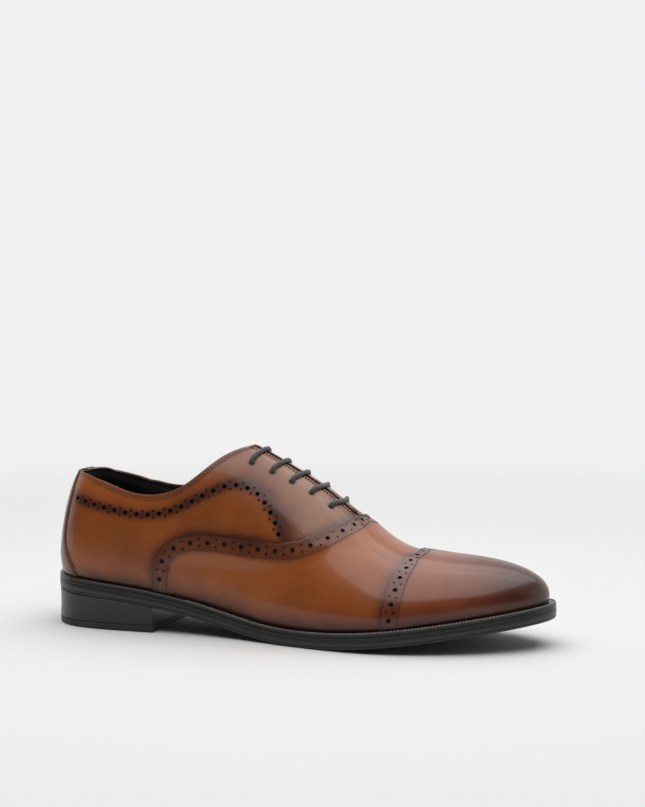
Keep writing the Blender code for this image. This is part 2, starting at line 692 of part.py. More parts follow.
def build_bottom():
    def edge(x):
        return np.zeros_like(x)

    def inside_welt(x):
        return welt_width(x) + WELT_INSIDE + 1.2

    def inside_lining(x):
        return welt_width(x) + 6.2

    flat_layer("outsole", -9, 999, edge, GAP + WELT + GAP, OUTSOLE, black_sole, columns=30)
    outer = sole_loop[::40]
    inner = inset(sole_loop, welt_width(sole_loop[:, 0]) + WELT_INSIDE)[::40]
    ring = []
    for near, far in zip(list(outer) + [outer[0]], list(inner) + [inner[0]]):
        ring.append([(x, y, float(feather_z(x)) - GAP) for x, y in (near, far)])
    welt = loft("welt", [ring], black_sole)
    thicken(welt, WELT, (ring[10][0], (0, 0, 1)))

    flat_layer("insole", -9, 999, inside_lining, -1.6, 2.0, board, columns=24)
    flat_layer("sock_lining", -9, 999, inside_lining, -2.8, 0.8, dark_lining, columns=24)
    flat_layer("cork_filler", FILLER_START + 0.5, 999, inside_welt, 0.8, 2.6, cork, columns=14)
    flat_layer("shank_board", -9, FILLER_START - 0.5, inside_welt, 0.8, 1.1, board, columns=12)
    strip = []
    for x in np.linspace(*SHANK, 10):
        z = float(feather_z(x)) - 2.2
        strip.append([(x, y, z) for y in SHANK_WIDTH])
    shank = loft("steel_shank", [strip], steel)
    thicken(shank, 1.1, (strip[4][1], (0, 0, 1)))

    heel_edge = inset(sole_loop, HEEL_INSET)
    low_edge = inset(sole_loop, HEEL_INSET + HEEL_NARROW)

    def heel_block(name, low, high, look, shrink_low, shrink_high):
        """A slice of the heel between two heights, its outline narrowing downwards."""
        def outline(share):
            loop = heel_edge + (low_edge - heel_edge) * share
            start = loop[:, 0].min()
            strip = []
            for turn in (0, 0.02, 0.07, 0.16, 0.3, 0.48, 0.66, 0.83, 1):
                x = start + (HEEL_BREAST - start) * turn
                left, right = edge_of(loop, x, LATERAL), edge_of(loop, x, MEDIAL)
                strip.append([(x, left + (right - left) * j / 4) for j in range(5)])
            return strip

        top, bottom = outline(shrink_high), outline(shrink_low)
        upper = [[(x, y, high(x)) for x, y in row] for row in top]
        lower = [[(x, y, low(x)) for x, y in row] for row in bottom]
        walls = [
            [[row[0] for row in upper], [row[0] for row in lower]],
            [[row[-1] for row in upper], [row[-1] for row in lower]],
            [upper[-1], lower[-1]],
            [upper[0], lower[0]],
        ]
        return loft(name, [upper, lower] + walls, look)

    seat = GAP + WELT + GAP + OUTSOLE + GAP
    stack = heel_block("heel_stack", lambda x: FLOOR + TOP_PIECE + GAP,
                       lambda x: float(feather_z(x)) - seat, black_sole, 0.85, 0)
    piece = heel_block("heel_top_piece", lambda x: FLOOR, lambda x: FLOOR + TOP_PIECE, rubber, 1, 0.9)
    bores = [((x, y, FLOOR - 2), (x, y, FLOOR + NAIL_LENGTH + GAP)) for x, y in NAILS]
    bore = rods("nail_bores", bores, NAIL_RADIUS + CLEARANCE)
    for target in (stack, piece):
        cut(target, bore, "Nails")
    for number, (x, y) in enumerate(NAILS, 1):
        rods(f"heel_nail_{number}", [((x, y, FLOOR + 0.2), (x, y, FLOOR + NAIL_LENGTH))], NAIL_RADIUS,
             brass, shoe, 10)


build_bottom()
build_upper()
build_inside()
build_tongue()
build_eyelets()
build_lace()
build_bartack()
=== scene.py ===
import math

import bmesh
import bpy
import numpy as np
from mathutils import Matrix, Vector
from mathutils.kdtree import KDTree


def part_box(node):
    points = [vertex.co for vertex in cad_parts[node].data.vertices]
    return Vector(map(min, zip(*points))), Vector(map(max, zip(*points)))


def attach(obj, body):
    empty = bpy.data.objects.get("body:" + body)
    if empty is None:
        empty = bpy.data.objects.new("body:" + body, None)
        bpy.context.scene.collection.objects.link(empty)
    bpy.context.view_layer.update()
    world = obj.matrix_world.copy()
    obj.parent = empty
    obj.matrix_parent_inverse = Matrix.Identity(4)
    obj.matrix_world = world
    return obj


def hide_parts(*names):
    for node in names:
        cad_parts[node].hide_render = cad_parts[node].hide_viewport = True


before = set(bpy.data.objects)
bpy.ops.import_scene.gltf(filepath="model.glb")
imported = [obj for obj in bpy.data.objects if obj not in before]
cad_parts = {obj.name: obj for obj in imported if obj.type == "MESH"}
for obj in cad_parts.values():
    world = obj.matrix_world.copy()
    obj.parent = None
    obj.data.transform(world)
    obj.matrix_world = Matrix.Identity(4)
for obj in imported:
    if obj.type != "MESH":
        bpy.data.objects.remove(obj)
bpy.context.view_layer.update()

# Right oxford shoe. Shape values are millimetres, x from the heel back to the toe, +y the inner side.
mm = 0.001
outer, inner = -1, 1

lastShape = {
    "sole": [(0, 0), (3.5, -15), (14, -27.5), (32, -33.5), (62, -34.5), (95, -35), (125, -38.5),
             (155, -45.5), (182, -51), (207, -53), (232, -49.5), (256, -41.5), (277, -30),
             (293, -15.5), (301, 1), (298, 15), (286, 26.5), (268, 36), (246, 42.5), (222, 45.5),
             (197, 43), (170, 35.5), (142, 28.5), (112, 26), (82, 28.5), (55, 32), (30, 32.5),
             (13, 27), (3.5, 15)],
    "weltWidth": [(0, 2.8), (40, 3.0), (110, 3.6), (170, 4.2), (230, 4.3), (301, 4.5)],
    "feather": [(0, 30.3), (35, 28.1), (70, 24.3), (105, 18.0), (140, 11.0), (172, 9.6),
                (205, 11.8), (235, 15.6), (265, 20.2), (300, 25.3)],
    "ridge": [(28, 104), (50, 109), (75, 112.3), (100, 112.3), (115, 109.8), (126, 105.8),
              (140, 98.6), (155, 90.2), (168, 81.8), (180, 72.6), (190, 65.6), (200, 58.8),
              (210, 53.4), (222, 50.4), (235, 49.6), (250, 48.8)],
    "ridgeSide": [(28, 0), (60, 0), (100, 1.0), (140, 2.5), (180, 3.5), (220, 4.5), (255, 5.0)],
    "roundOuter": [(28, 2.0), (150, 2.0), (185, 2.05), (220, 2.15), (255, 2.2)],
    "roundInner": [(28, 2.0), (60, 2.2), (95, 2.6), (180, 2.7), (205, 2.3), (225, 2.15), (255, 2.2)],
    "boxy": [(28, 1.9), (60, 1.9), (90, 1.8), (120, 1.7), (150, 1.65), (185, 1.75), (220, 2.1),
             (255, 2.3)],
    "swell": [(0, 2.0), (60, 2.2), (120, 2.5), (180, 2.0), (230, 1.6), (300, 1.6)],
    "swellHeight": 14.0,
    "heelReach": 30.0,
    "toeReach": 48.0,
    "innerSteep": 0.9,
}

# Seams as (station along the welt, share of the way up to the ridge).
seams = {
    "topline": [(3, 0.845), (14, 0.83), (26, 0.778), (38, 0.722), (50, 0.665), (63, 0.633),
                (76, 0.647), (88, 0.712), (99, 0.815), (110, 0.916), (120, 0.983)],
    "wingEdge": [(71.1, 0.0), (71.5, 0.111), (72.1, 0.179), (73.8, 0.24), (76.7, 0.29),
                 (81.5, 0.343), (87.6, 0.381), (100, 0.421), (125.3, 0.468), (138, 0.503),
                 (150.8, 0.55), (163, 0.627), (174.5, 0.755), (184.9, 0.907), (189.6, 0.971),
                 (193, 1.0)],
    "wingRow": [(79.1, 0.0), (80.9, 0.163), (82.0, 0.217), (85.0, 0.254), (88.0, 0.285),
                (94.2, 0.314), (106.7, 0.343), (132.2, 0.392), (145.1, 0.432), (157.8, 0.482),
                (170.0, 0.574), (181.3, 0.72), (191.8, 0.885), (196.6, 0.957), (199.5, 1.0)],
    "corner": 5.5,
    "strap": [(0, 20.5), (0.083, 18.7), (0.148, 15.7), (0.236, 12.2), (0.42, 10.1), (0.63, 9.8),
              (0.85, 7.1)],
    "capLean": [(0, 0), (0.35, 1.4), (0.57, 3.6), (0.7, 5.5), (0.8, 8), (0.9, 11.4), (0.97, 16),
                (1, 22)],
    "brogueLine": [(13.2, 0.638), (27, 0.583), (40.2, 0.539), (54, 0.507), (68.9, 0.504),
                   (82.7, 0.549), (95.8, 0.631), (110.4, 0.727), (119.2, 0.767), (127.7, 0.78),
                   (135.4, 0.77), (140.4, 0.735), (145.3, 0.683), (148.8, 0.618), (150.5, 0.575)],
    "cap": 213.6,
    "throat": 193.0,
    "facingGap": 1.2,
    "innerDip": 0.012,
}

leather = {"wall": 0.95, "lap": 1.0, "edge": 0.22, "sharp": 50, "lining": 0.8}
bottom = {"gap": 0.3, "welt": 3.4, "outsole": 5.5, "breast": 71.0, "topPiece": 4.0}


def spline(knots):
    xs, ys = np.array(knots, float).T
    step = np.diff(xs)
    rise = np.diff(ys) / step
    count = len(xs)
    system, target = np.eye(count), np.zeros(count)
    for i in range(1, count - 1):
        system[i, i - 1:i + 2] = step[i - 1], 2 * (step[i - 1] + step[i]), step[i]
        target[i] = 6 * (rise[i] - rise[i - 1])
    bend = np.linalg.solve(system, target)

    def value(x):
        x = np.asarray(x, float)
        inside = np.clip(x, xs[0], xs[-1])
        i = np.clip(np.searchsorted(xs, inside, side="right") - 1, 0, count - 2)
        t = inside - xs[i]
        slope = rise[i] - step[i] * (2 * bend[i] + bend[i + 1]) / 6
        y = ys[i] + t * (slope + t * (bend[i] / 2 + t * (bend[i + 1] - bend[i]) / (6 * step[i])))
        first = rise[0] - step[0] * bend[1] / 6
        last = rise[-1] + step[-1] * bend[-2] / 6
        return y + np.minimum(x - xs[0], 0) * first + np.maximum(x - xs[-1], 0) * last

    return value


def smooth(low, high, x):
    t = np.clip((np.asarray(x, float) - low) / (high - low), 0, 1)
    return t * t * (3 - 2 * t)


def closedOutline(points, count=2400):
    ring = np.array(points * 3, float)
    along = np.concatenate([[0], np.cumsum(np.linalg.norm(np.diff(ring, axis=0), axis=1))])
    fx = spline(np.stack([along, ring[:, 0]], 1))
    fy = spline(np.stack([along, ring[:, 1]], 1))
    size = len(points)
    at = np.linspace(along[size], along[2 * size], count, endpoint=False)
    return np.stack([fx(at), fy(at)], 1)


def inwardNormals(loop):
    along = np.roll(loop, -1, 0) - np.roll(loop, 1, 0)
    along /= np.linalg.norm(along, axis=1)[:, None]
    return np.stack([-along[:, 1], along[:, 0]], 1)


weltWidth = spline(lastShape["weltWidth"])
featherZ = spline(lastShape["feather"])
ridgeZ = spline(lastShape["ridge"])
ridgeY = spline(lastShape["ridgeSide"])
roundOuter, roundInner = spline(lastShape["roundOuter"]), spline(lastShape["roundInner"])
boxy = spline(lastShape["boxy"])
swell = spline(lastShape["swell"])
toplineShare = spline(seams["topline"])
capLean = spline(seams["capLean"])
strapEdge = spline(seams["strap"])

soleLoop = closedOutline(lastShape["sole"])
featherLoop = soleLoop + inwardNormals(soleLoop) * weltWidth(soleLoop[:, 0])[:, None]


class Outline:
    # one closed outline, read by station and side
    def __init__(self, loop):
        ring = np.roll(loop, -int(np.argmin(loop[:, 0])), 0)
        normal = -inwardNormals(ring)
        tip = int(np.argmax(ring[:, 0]))
        self.low, self.high = ring[0, 0], ring[tip, 0]
        self.halves = {}
        for side, pick in ((outer, slice(0, tip + 1)), (inner, slice(tip, None))):
            part = np.hstack([ring, normal])[pick]
            if side == inner:
                part = np.vstack([part, np.hstack([ring[:1], normal[:1]])])[::-1]
            self.halves[side] = part

    def read(self, x, side, column):
        x = np.clip(x, self.low, self.high)
        values = {s: np.interp(x, half[:, 0], half[:, column]) for s, half in self.halves.items()}
        return np.where(np.asarray(side) < 0, values[outer], values[inner])

    def y(self, x, side):
        return self.read(x, side, 1)

    def normal(self, x, side):
        nx, ny = self.read(x, side, 2), self.read(x, side, 3)
        size = np.maximum(np.hypot(nx, ny), 1e-6)
        return nx / size, ny / size


featherLine = Outline(featherLoop)
soleEdge = Outline(soleLoop)
heelBack, toeTip = featherLine.low, featherLine.high
lowestFeather = float(featherZ(np.linspace(120, 240, 121)).min())
floorZ = lowestFeather - bottom["welt"] - 2 * bottom["gap"] - bottom["outsole"]

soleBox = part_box("outsole")
soleMiddle = (soleLoop[:, 1].min() + soleLoop[:, 1].max()) / 2
shift = np.array([-150.5, -soleMiddle, -floorZ])
shift[1] += (soleBox[0][1] + soleBox[1][1]) / 2 / mm


def toFrame(points):
    return (np.asarray(points, float) + shift) * mm


def ridgeStation(station):
    ahead = toeTip - station
    return np.hypot(station, lastShape["heelReach"]) - (np.hypot(ahead, lastShape["toeReach"]) - ahead)


def onLast(station, side, share, offset=0.0):
    # points of the upper, in millimetres
    station = np.clip(np.asarray(station, float), heelBack, toeTip)
    share = np.clip(np.asarray(share, float), 0, 1)
    side = np.asarray(side, float)
    footY = featherLine.y(station, side)
    topX = ridgeStation(station)
    topY = ridgeY(topX)
    reach = np.hypot(station - topX, footY - topY)
    low, high = featherZ(station), ridgeZ(topX)
    slope = ridgeZ(topX + 0.5) - ridgeZ(topX - 0.5)
    outerRound, innerRound = roundOuter(topX), roundInner(topX)
    meet = smooth(225, 248, topX) / 2
    fullness = np.where(side < 0, outerRound + (innerRound - outerRound) * meet,
                        innerRound + (outerRound - innerRound) * meet)
    spread = np.clip(1 - share ** boxy(topX), 0, 1) ** (1 / fullness)
    rise = np.minimum(share * (high - low) / lastShape["swellHeight"], 1)
    bulge = swell(station) * np.sin(rise * np.pi / 2) * np.minimum(spread * 1.6, 1)
    grow = spread + bulge / reach
    x = topX + (station - topX) * grow
    y = topY + (footY - topY) * grow
    z = low + share * (high - low) + slope * (x - topX) * (1 - spread ** 2)
    nx, ny = featherLine.normal(station, side)
    lean = share * reach / (high - low)
    normal = np.stack([spread * nx - lean * slope, spread * ny, lean + 0 * x], -1)
    normal /= np.linalg.norm(normal, axis=-1, keepdims=True)
    return np.stack([x, y, z], -1) + normal * np.asarray(offset, float)[..., None]


def ridgeFall(station, side):
    # the way out from the ridge to the feather line, and the roundness there
    topX = ridgeStation(station)
    reach = np.hypot(station - topX, featherLine.y(station, side) - ridgeY(topX))
    return reach, np.where(np.asarray(side) < 0, roundOuter(topX), roundInner(topX)), boxy(topX)


def shareAt(station, side, distance):
    # how far up the upper lies a point at this distance from the ridge
    reach, fullness, box = ridgeFall(station, side)
    distance = np.where(np.asarray(side) > 0, distance * lastShape["innerSteep"], distance)
    spread = np.clip(distance / reach, 0, 1)
    return (1 - spread ** fullness) ** (1 / box)


def leaning(station, share):
    cap, throat = seams["cap"], seams["throat"]
    behind = np.clip((station - throat) / (cap - throat), 0, 1)
    ahead = np.clip((toeTip - station) / (toeTip - cap), 0, 1)
    return station + capLean(share) * np.where(station < cap, behind, ahead)


wingKnots = np.array(seams["wingEdge"])


def wingShare(station):
    return np.interp(station, wingKnots[:, 0], wingKnots[:, 1])


def quarterTop(station, side):
    # the topline, a little lower at the inner heel, rounded off into the edge of the facing
    dip = smooth(16, 22, station) * (1 - smooth(44, 52, station)) * (np.asarray(side) > 0)
    topline = np.clip(toplineShare(station) - seams["innerDip"] * dip, 0, 1)
    reach, fullness, box = ridgeFall(station, side)
    aside = reach * (1 - topline ** box) ** (1 / fullness)
    aside = np.where(np.asarray(side) > 0, aside / lastShape["innerSteep"], aside)
    gap, corner = seams["facingGap"], seams["corner"]
    mixed = np.clip(0.5 + 0.5 * (aside - gap) / corner, 0, 1)
    rounded = gap + (aside - gap) * mixed + corner * mixed * (1 - mixed)
    return np.where(aside > gap + corner, topline, shareAt(station, side, rounded))


# How far each panel stands out, for laps over its neighbour. Pairs are where a fade starts and ends.
lapLook = {
    "wing": (0.085, 0.2), "rear": (77.5, 84), "throat": (-3, 14), "crown": (2, 16), "crownShare": (0.9, 0.98),
    "cap": (9, 26), "capDrop": 0.75, "strap": 0.85,
}


def vampLift(station, share):
    station, share = np.asarray(station, float), np.asarray(share, float)
    ahead = station - seams["throat"]
    lap = 1 - smooth(*lapLook["wing"], wingShare(station) - share)
    rear = 1 - smooth(*lapLook["rear"], station)
    wing = np.maximum(lap, rear) * (1 - smooth(*lapLook["throat"], ahead))
    crown = (1 - smooth(*lapLook["crown"], ahead)) * smooth(*lapLook["crownShare"], share)
    return leather["lap"] * np.maximum(wing, crown)


def capLift(station, share):
    ahead = station - seams["cap"] - capLean(np.asarray(share, float))
    return leather["lap"] * (1 - lapLook["capDrop"] * smooth(*lapLook["cap"], ahead))


def quarterLift(station, share):
    return np.zeros_like(np.asarray(station, float) + np.asarray(share, float))


def strapLift(station, share):
    return quarterLift(station, share) + leather["lap"] * lapLook["strap"]


# Meshes

def asPiece(name, shape):
    # a finished bmesh as an object at the origin
    mesh = bpy.data.meshes.new(name)
    shape.to_mesh(mesh)
    shape.free()
    piece = bpy.data.objects.new(name, mesh)
    bpy.context.scene.collection.objects.link(piece)
    return piece


def closeUp(name, shape, facing=None):
    # merged and facing outwards
    bmesh.ops.remove_doubles(shape, verts=shape.verts, dist=0.00001)
    bmesh.ops.recalc_face_normals(shape, faces=shape.faces)
    if facing is not None:
        near, way = Vector(facing[0]), Vector(facing[1])
        face = min(shape.faces, key=lambda f: (f.calc_center_median() - near).length)
        if face.normal.dot(way) < 0:
            bmesh.ops.reverse_faces(shape, faces=shape.faces)
    return asPiece(name, shape)


def gridPanel(name, columns, rows, place, sides=(outer, inner)):
    # place turns grid positions a, b in 0..1 of one side into station, share and offset
    shape = bmesh.new()
    table = []
    for side in sides:
        made = bmesh.ops.create_grid(shape, x_segments=columns, y_segments=rows, size=0.5)["verts"]
        flat = np.array([vert.co[:] for vert in made]) + 0.5
        station, share, offset = place(side, flat[:, 0], flat[:, 1])
        where = toFrame(onLast(station, side, share, offset))
        table.append(np.column_stack([where, station, np.full(len(station), side), share]))
        for vert, point in zip(made, where):
            vert.co = point
    table = np.vstack(table)
    middle = table[len(table) // (2 * len(sides))]
    out = onLast(*middle[3:], 1.0) - onLast(*middle[3:], 0.0)
    return closeUp(name, shape, (middle[:3], out)), table


def tableRows(table, places):
    # the row of a panel's table nearest to each place
    tree = KDTree(len(table))
    for i, row in enumerate(table):
        tree.insert(row[:3], i)
    tree.balance()
    return table[[tree.find(place)[1] for place in places]]


def applied(piece):
    graph = bpy.context.evaluated_depsgraph_get()
    mesh = bpy.data.meshes.new_from_object(piece.evaluated_get(graph))
    piece.modifiers.clear()
    piece.data = mesh
    mesh.name = piece.name
    return piece


def walled(piece, wall, edge, rim=0):
    solid = piece.modifiers.new("Wall", "SOLIDIFY")
    solid.thickness = wall * mm
    solid.offset = -1
    solid.material_offset_rim = rim
    if edge:
        soft = piece.modifiers.new("Edge", "BEVEL")
        soft.width = edge * mm
        soft.segments = 2
        soft.limit_method = "ANGLE"
        soft.angle_limit = math.radians(leather["sharp"])
        soft.use_clamp_overlap = True
    return applied(piece)


def shaded(piece, angle=38):
    piece.data.shade_smooth()
    piece.data.set_sharp_from_angle(angle=math.radians(angle))


def dress(piece, body, replaced, look=None):
    if look is not None:
        piece.data.materials.append(look)
    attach(piece, body)
    if replaced:
        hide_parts(*replaced)
    return piece


def punched(piece, holes, depth, look):
    # real holes: holes is a list of (centre, direction, radius) in millimetres of the shoe
    if not holes:
        return piece
    shape = bmesh.new()
    for centre, way, radius in holes:
        turn = Vector(way).to_track_quat("Z", "Y").to_matrix().to_4x4()
        turn.translation = Vector(toFrame(centre))
        bmesh.ops.create_cone(shape, cap_ends=True, segments=16 if radius > 0.8 else 10,
                              radius1=radius * mm, radius2=radius * mm, depth=depth * mm, matrix=turn)
    punch = asPiece("punches", shape)
    punch.data.materials.append(look)
    cut = piece.modifiers.new("Punch", "BOOLEAN")
    cut.operation = "DIFFERENCE"
    cut.solver = "MANIFOLD"
    cut.object = punch
    applied(piece)
    bpy.data.objects.remove(punch, do_unlink=True)
    return piece


# Lines over the upper

class Seam:
    # a dense run of points with their outward directions, read at distances along it
    def __init__(self, points, normals, **given):
        self.points, self.normals, self.given = points, normals, given
        steps = np.linalg.norm(np.diff(points, axis=0), axis=1)
        self.along = np.concatenate([[0], np.cumsum(steps)])
        self.length = self.along[-1]

    def at(self, distances):
        def pick(values, where):
            return np.stack([np.interp(where, self.along, values[:, k]) for k in range(3)], -1)

        points = pick(self.points, distances)
        tangent = pick(self.points, np.add(distances, 0.4)) - pick(self.points, np.add(distances, -0.4))
        tangent /= np.maximum(np.linalg.norm(tangent, axis=1), 1e-9)[:, None]
        normal = pick(self.normals, distances)
        normal -= tangent * (normal * tangent).sum(1)[:, None]
        normal /= np.maximum(np.linalg.norm(normal, axis=1), 1e-9)[:, None]
        return points, tangent, normal

    def shifted(self, aside):
        # the same run moved sideways over the leather, + is to the left of the way it runs
        points, tangent, normal = self.at(self.along)
        return Seam(points + np.cross(normal, tangent) * aside, normal)


def seamOn(station, share, side, lift):
    station = np.asarray(station, float)
    height = lift(station, share)
    base = onLast(station, side, share, height)
    return Seam(base, onLast(station, side, share, height + 1) - base,
                station=station, share=share, side=side, lift=lift)


def knotted(knots, side, lift):
    knots = np.array(knots, float)
    along = np.concatenate([[0], np.cumsum(np.hypot(np.diff(knots[:, 0]), np.diff(knots[:, 1]) * 80))])
    at = np.linspace(0, along[-1], 1500)
    station = spline(np.column_stack([along, knots[:, 0]]))(at)
    share = spline(np.column_stack([along, knots[:, 1]]))(at)
    return seamOn(station, np.clip(share, 0, 1), side, lift)


def between(first, second):
    a, b = first.given, second.given
    middle = {key: (a[key] + b[key]) / 2 for key in ("station", "share")}
    return seamOn(middle["station"], middle["share"], a["side"], a["lift"])


def bandSeams(side):
    # every seam of one side of the upper
    upShare = np.sin(np.linspace(0, np.pi / 2, 1500))
    strapTop = float(toplineShare(8.0))
    strapShare = np.linspace(0, strapTop, 1500)
    rimStation = np.linspace(strapEdge(strapTop), seams["throat"] + 1, 2400)
    cap = seams["cap"]
    return {
        "wingEdge": knotted(seams["wingEdge"], side, vampLift),
        "wingRow": knotted(seams["wingRow"], side, vampLift),
        "brogue": knotted(seams["brogueLine"], side, quarterLift),
        "capEdge": seamOn(cap + capLean(upShare), upShare, side, capLift),
        "capRow": seamOn(leaning(cap + 10 + 0 * upShare, upShare), upShare, side, capLift),
        "strap": seamOn(strapEdge(strapShare), strapShare, side, strapLift),
        "rim": seamOn(rimStation, quarterTop(rimStation, side), side, quarterLift),
    }


lines = {side: bandSeams(side) for side in (outer, inner)}
for own in lines.values():
    own["wingMiddle"] = between(own["wingEdge"], own["wingRow"])
    own["capMiddle"] = between(own["capEdge"], own["capRow"])

brogueLook = {
    "bigRadius": 1.3, "smallRadius": 0.55, "bandPitch": 10.4, "rowPitch": 7.2, "pairAside": 2.05,
    "pairAsideRow": 2.0, "capPitch": 9.6,
}


def brogueHoles(seam, pitch, aside, start=0.0, fromEnd=False):
    # large holes with a pair of small ones across the line between each two
    count = int(round((seam.length - start) / pitch))
    step = (seam.length - start) / count
    middles = start + (np.arange(count) + 0.5) * step
    joins = start + np.arange(1, count) * step
    if fromEnd:
        joins = np.append(joins, seam.length)
    holes = []
    points, tangents, normals = seam.at(middles)
    holes += [(p, n, brogueLook["bigRadius"]) for p, n in zip(points, normals)]
    points, tangents, normals = seam.at(joins)
    for p, t, n in zip(points, tangents, normals):
        across = np.cross(n, t) * aside
        holes += [(p + across, n, brogueLook["smallRadius"]), (p - across, n, brogueLook["smallRadius"])]
    return holes


def closestTo(seam, points):
    # distance, signed sideways distance and distance along, for each point, all in mm
    run = seam.points[::3]
    tangent = np.gradient(run, axis=0)
    across = np.cross(seam.normals[::3], tangent)
    across /= np.maximum(np.linalg.norm(across, axis=1), 1e-9)[:, None]
    gap, signed, along = [], [], []
    for block in np.array_split(points, max(len(points) // 4000, 1)):
        squared = (block ** 2).sum(1)[:, None] + (run ** 2).sum(1)[None] - 2 * block @ run.T
        nearest = squared.argmin(1)
        gap.append(np.sqrt(np.maximum(squared[np.arange(len(block)), nearest], 0)))
        signed.append(((block - run[nearest]) * across[nearest]).sum(1))
        along.append(seam.along[::3][nearest])
    return np.concatenate(gap), np.concatenate(signed), np.concatenate(along)


def vertexPoints(piece):
    flat = np.empty(len(piece.data.vertices) * 3, np.float32)
    piece.data.vertices.foreach_get("co", flat)
    return flat.reshape(-1, 3).astype(float)


def paint(piece, **values):
    for name, value in values.items():
        held = piece.data.attributes.new(name, "FLOAT", "POINT")
        held.data.foreach_set("value", np.asarray(value, np.float32))


# Burnish, with painted shade in the stitch grooves along wingRow and capRow and at the hole rims. Seam rows
# are (seam, darkness beside it, reach in mm), and pairs are where a fade starts and ends.
patinaLook = {
    "quarter": [("wingEdge", 0.75, 4.0), ("rim", 0.4, 2.5), ("strap", 0.7, 3.0)],
    # the wingRow and capRow rows are painted shade in the stitch grooves, the other rows burnish
    "vampPiece": [("capEdge", 0.7, 4.5), ("wingEdge", 0.95, 0.8), ("wingRow", 0.5, 0.5)],
    "toeCapPiece": [("capEdge", 0.95, 0.8), ("capRow", 0.5, 0.5)],
    "backStrapPiece": [("strap", 0.9, 1.6)],
    "bands": {"vampPiece": "wingMiddle", "toeCapPiece": "capMiddle"}, "band": (8.0, 3.5), "bandDark": 0.42,
    "sole": (0.85, 5.5), "toeDark": 0.85, "toe": (236, 302), "heelDark": 0.5, "heel": (24, 4),
    "hole": (0.65, 0.7), "rubReach": 0.35,
}
brogueShade = {
    "descent": (0.62, 0.85), "wide": 3.0, "wider": 6.5, "aside": 2.0, "ends": 4, "dark": 0.85,
    "behindDark": 0.16, "behind": (2, -10), "pale": (4, 17), "paleFrom": (0.4, 0.75),
}


def brogueBurnish(seam, points, side):
    # dark along the brogue row and ahead of its descent, and how pale the facing in front of it is
    gap, signed, along = closestTo(seam, points)
    ahead, reach = -signed * side, along / seam.length
    descent = smooth(*brogueShade["descent"], reach)
    wide = brogueShade["wide"] + np.where(ahead > 0, brogueShade["wider"] * descent, 0)
    away = np.maximum(np.abs(ahead - brogueShade["aside"] * descent), gap - brogueShade["ends"])
    dark = np.maximum(brogueShade["dark"] * np.exp(-away / wide),
                      brogueShade["behindDark"] * smooth(*brogueShade["behind"], ahead))
    return dark, smooth(*brogueShade["pale"], ahead) * smooth(*brogueShade["paleFrom"], reach)


def patina(piece, table, holes):
    # how dark, how pale and how rubbed the leather is at each vertex
    points = vertexPoints(piece)
    rows = tableRows(table, points)
    place = points / mm - shift
    height = place[:, 2] - featherZ(rows[:, 3])
    deep, reach = patinaLook["sole"]
    dark = deep * np.exp(-np.maximum(height, 0) / reach)
    dark = np.maximum(dark, patinaLook["toeDark"] * smooth(*patinaLook["toe"], place[:, 0] + 0.2 * height))
    dark = np.maximum(dark, patinaLook["heelDark"] * smooth(*patinaLook["heel"], place[:, 0]))
    pale, rub = np.zeros(len(points)), np.zeros(len(points))
    isQuarter = piece.name.startswith("quarter")
    for number, own in lines.items():
        here = rows[:, 4] * number > 0
        if not here.any():
            continue
        part, near = place[here], dark[here]
        if isQuarter:
            shade, pale[here] = brogueBurnish(own["brogue"], part, number)
            near = np.maximum(near, shade)
            rub[here] = np.exp(-closestTo(own["rim"], part)[0] / patinaLook["rubReach"])
        if piece.name in patinaLook["bands"]:
            gap = closestTo(own[patinaLook["bands"][piece.name]], part)[0]
            near = np.maximum(near, patinaLook["bandDark"] * smooth(*patinaLook["band"], gap))
        for name, deep, reach in patinaLook["quarter" if isQuarter else piece.name]:
            near = np.maximum(near, deep * np.exp(-closestTo(own[name], part)[0] / reach))
        dark[here] = near
    # painted shade at the hole rims, partly burnish: darker within reach of each hole
    if holes:
        centres = np.array([hole[0] for hole in holes])
        radii = np.array([hole[2] for hole in holes])
        deep, reach = patinaLook["hole"]
        for some in np.array_split(np.arange(len(place)), max(len(place) // 4000, 1)):
            gap = (np.linalg.norm(place[some][:, None] - centres[None], axis=2) - radii[None]).min(1)
            dark[some] = np.maximum(dark[some], deep * np.exp(-np.maximum(gap, 0) / reach))
    paint(piece, dark=np.clip(dark, 0, 1), pale=np.clip(pale, 0, 1), rub=np.clip(rub, 0, 1))


stitchLook = {
    "pitch": 1.7, "length": 1.05, "radius": 0.3, "sink": 0.05,
    # rows along each seam, in millimetres into its panel
    "rows": {"wingEdge": (1.1, 2.5), "wingRow": (0,), "capEdge": (1.1,), "capRow": (0,), "rim": (1.9, 3.2),
             "strap": (-1.1,)},
}


def stitchRow(seam, pitch, length, radius):
    # one row of stitches as a mesh of its own
    count = max(int(seam.length / pitch), 1)
    points, tangents, normals = seam.at((np.arange(count) + 0.5) * seam.length / count)
    row = bmesh.new()
    for point, tangent, normal in zip(points, tangents, normals):
        side = np.cross(normal, tangent)
        turn = Matrix((normal * radius * 0.75, side * radius, tangent * length / 2)).transposed().to_4x4()
        turn = Matrix.Scale(mm, 4) @ turn
        turn.translation = Vector(toFrame(point + normal * stitchLook["sink"]))
        bmesh.ops.create_uvsphere(row, u_segments=6, v_segments=5, radius=1.0, matrix=turn)
    mesh = bpy.data.meshes.new("stitchRow")
    row.to_mesh(mesh)
    row.free()
    return mesh


def stitchPiece(name, runs, look, sizes):
    shape = bmesh.new()
    for run in runs:
        row = stitchRow(run, sizes["pitch"], sizes["length"], sizes["radius"])
        shape.from_mesh(row)
        bpy.data.meshes.remove(row)
    bmesh.ops.recalc_face_normals(shape, faces=shape.faces)
    piece = asPiece(name, shape)
    piece.data.shade_smooth()
    return dress(piece, "shoe", (), look)


# Materials

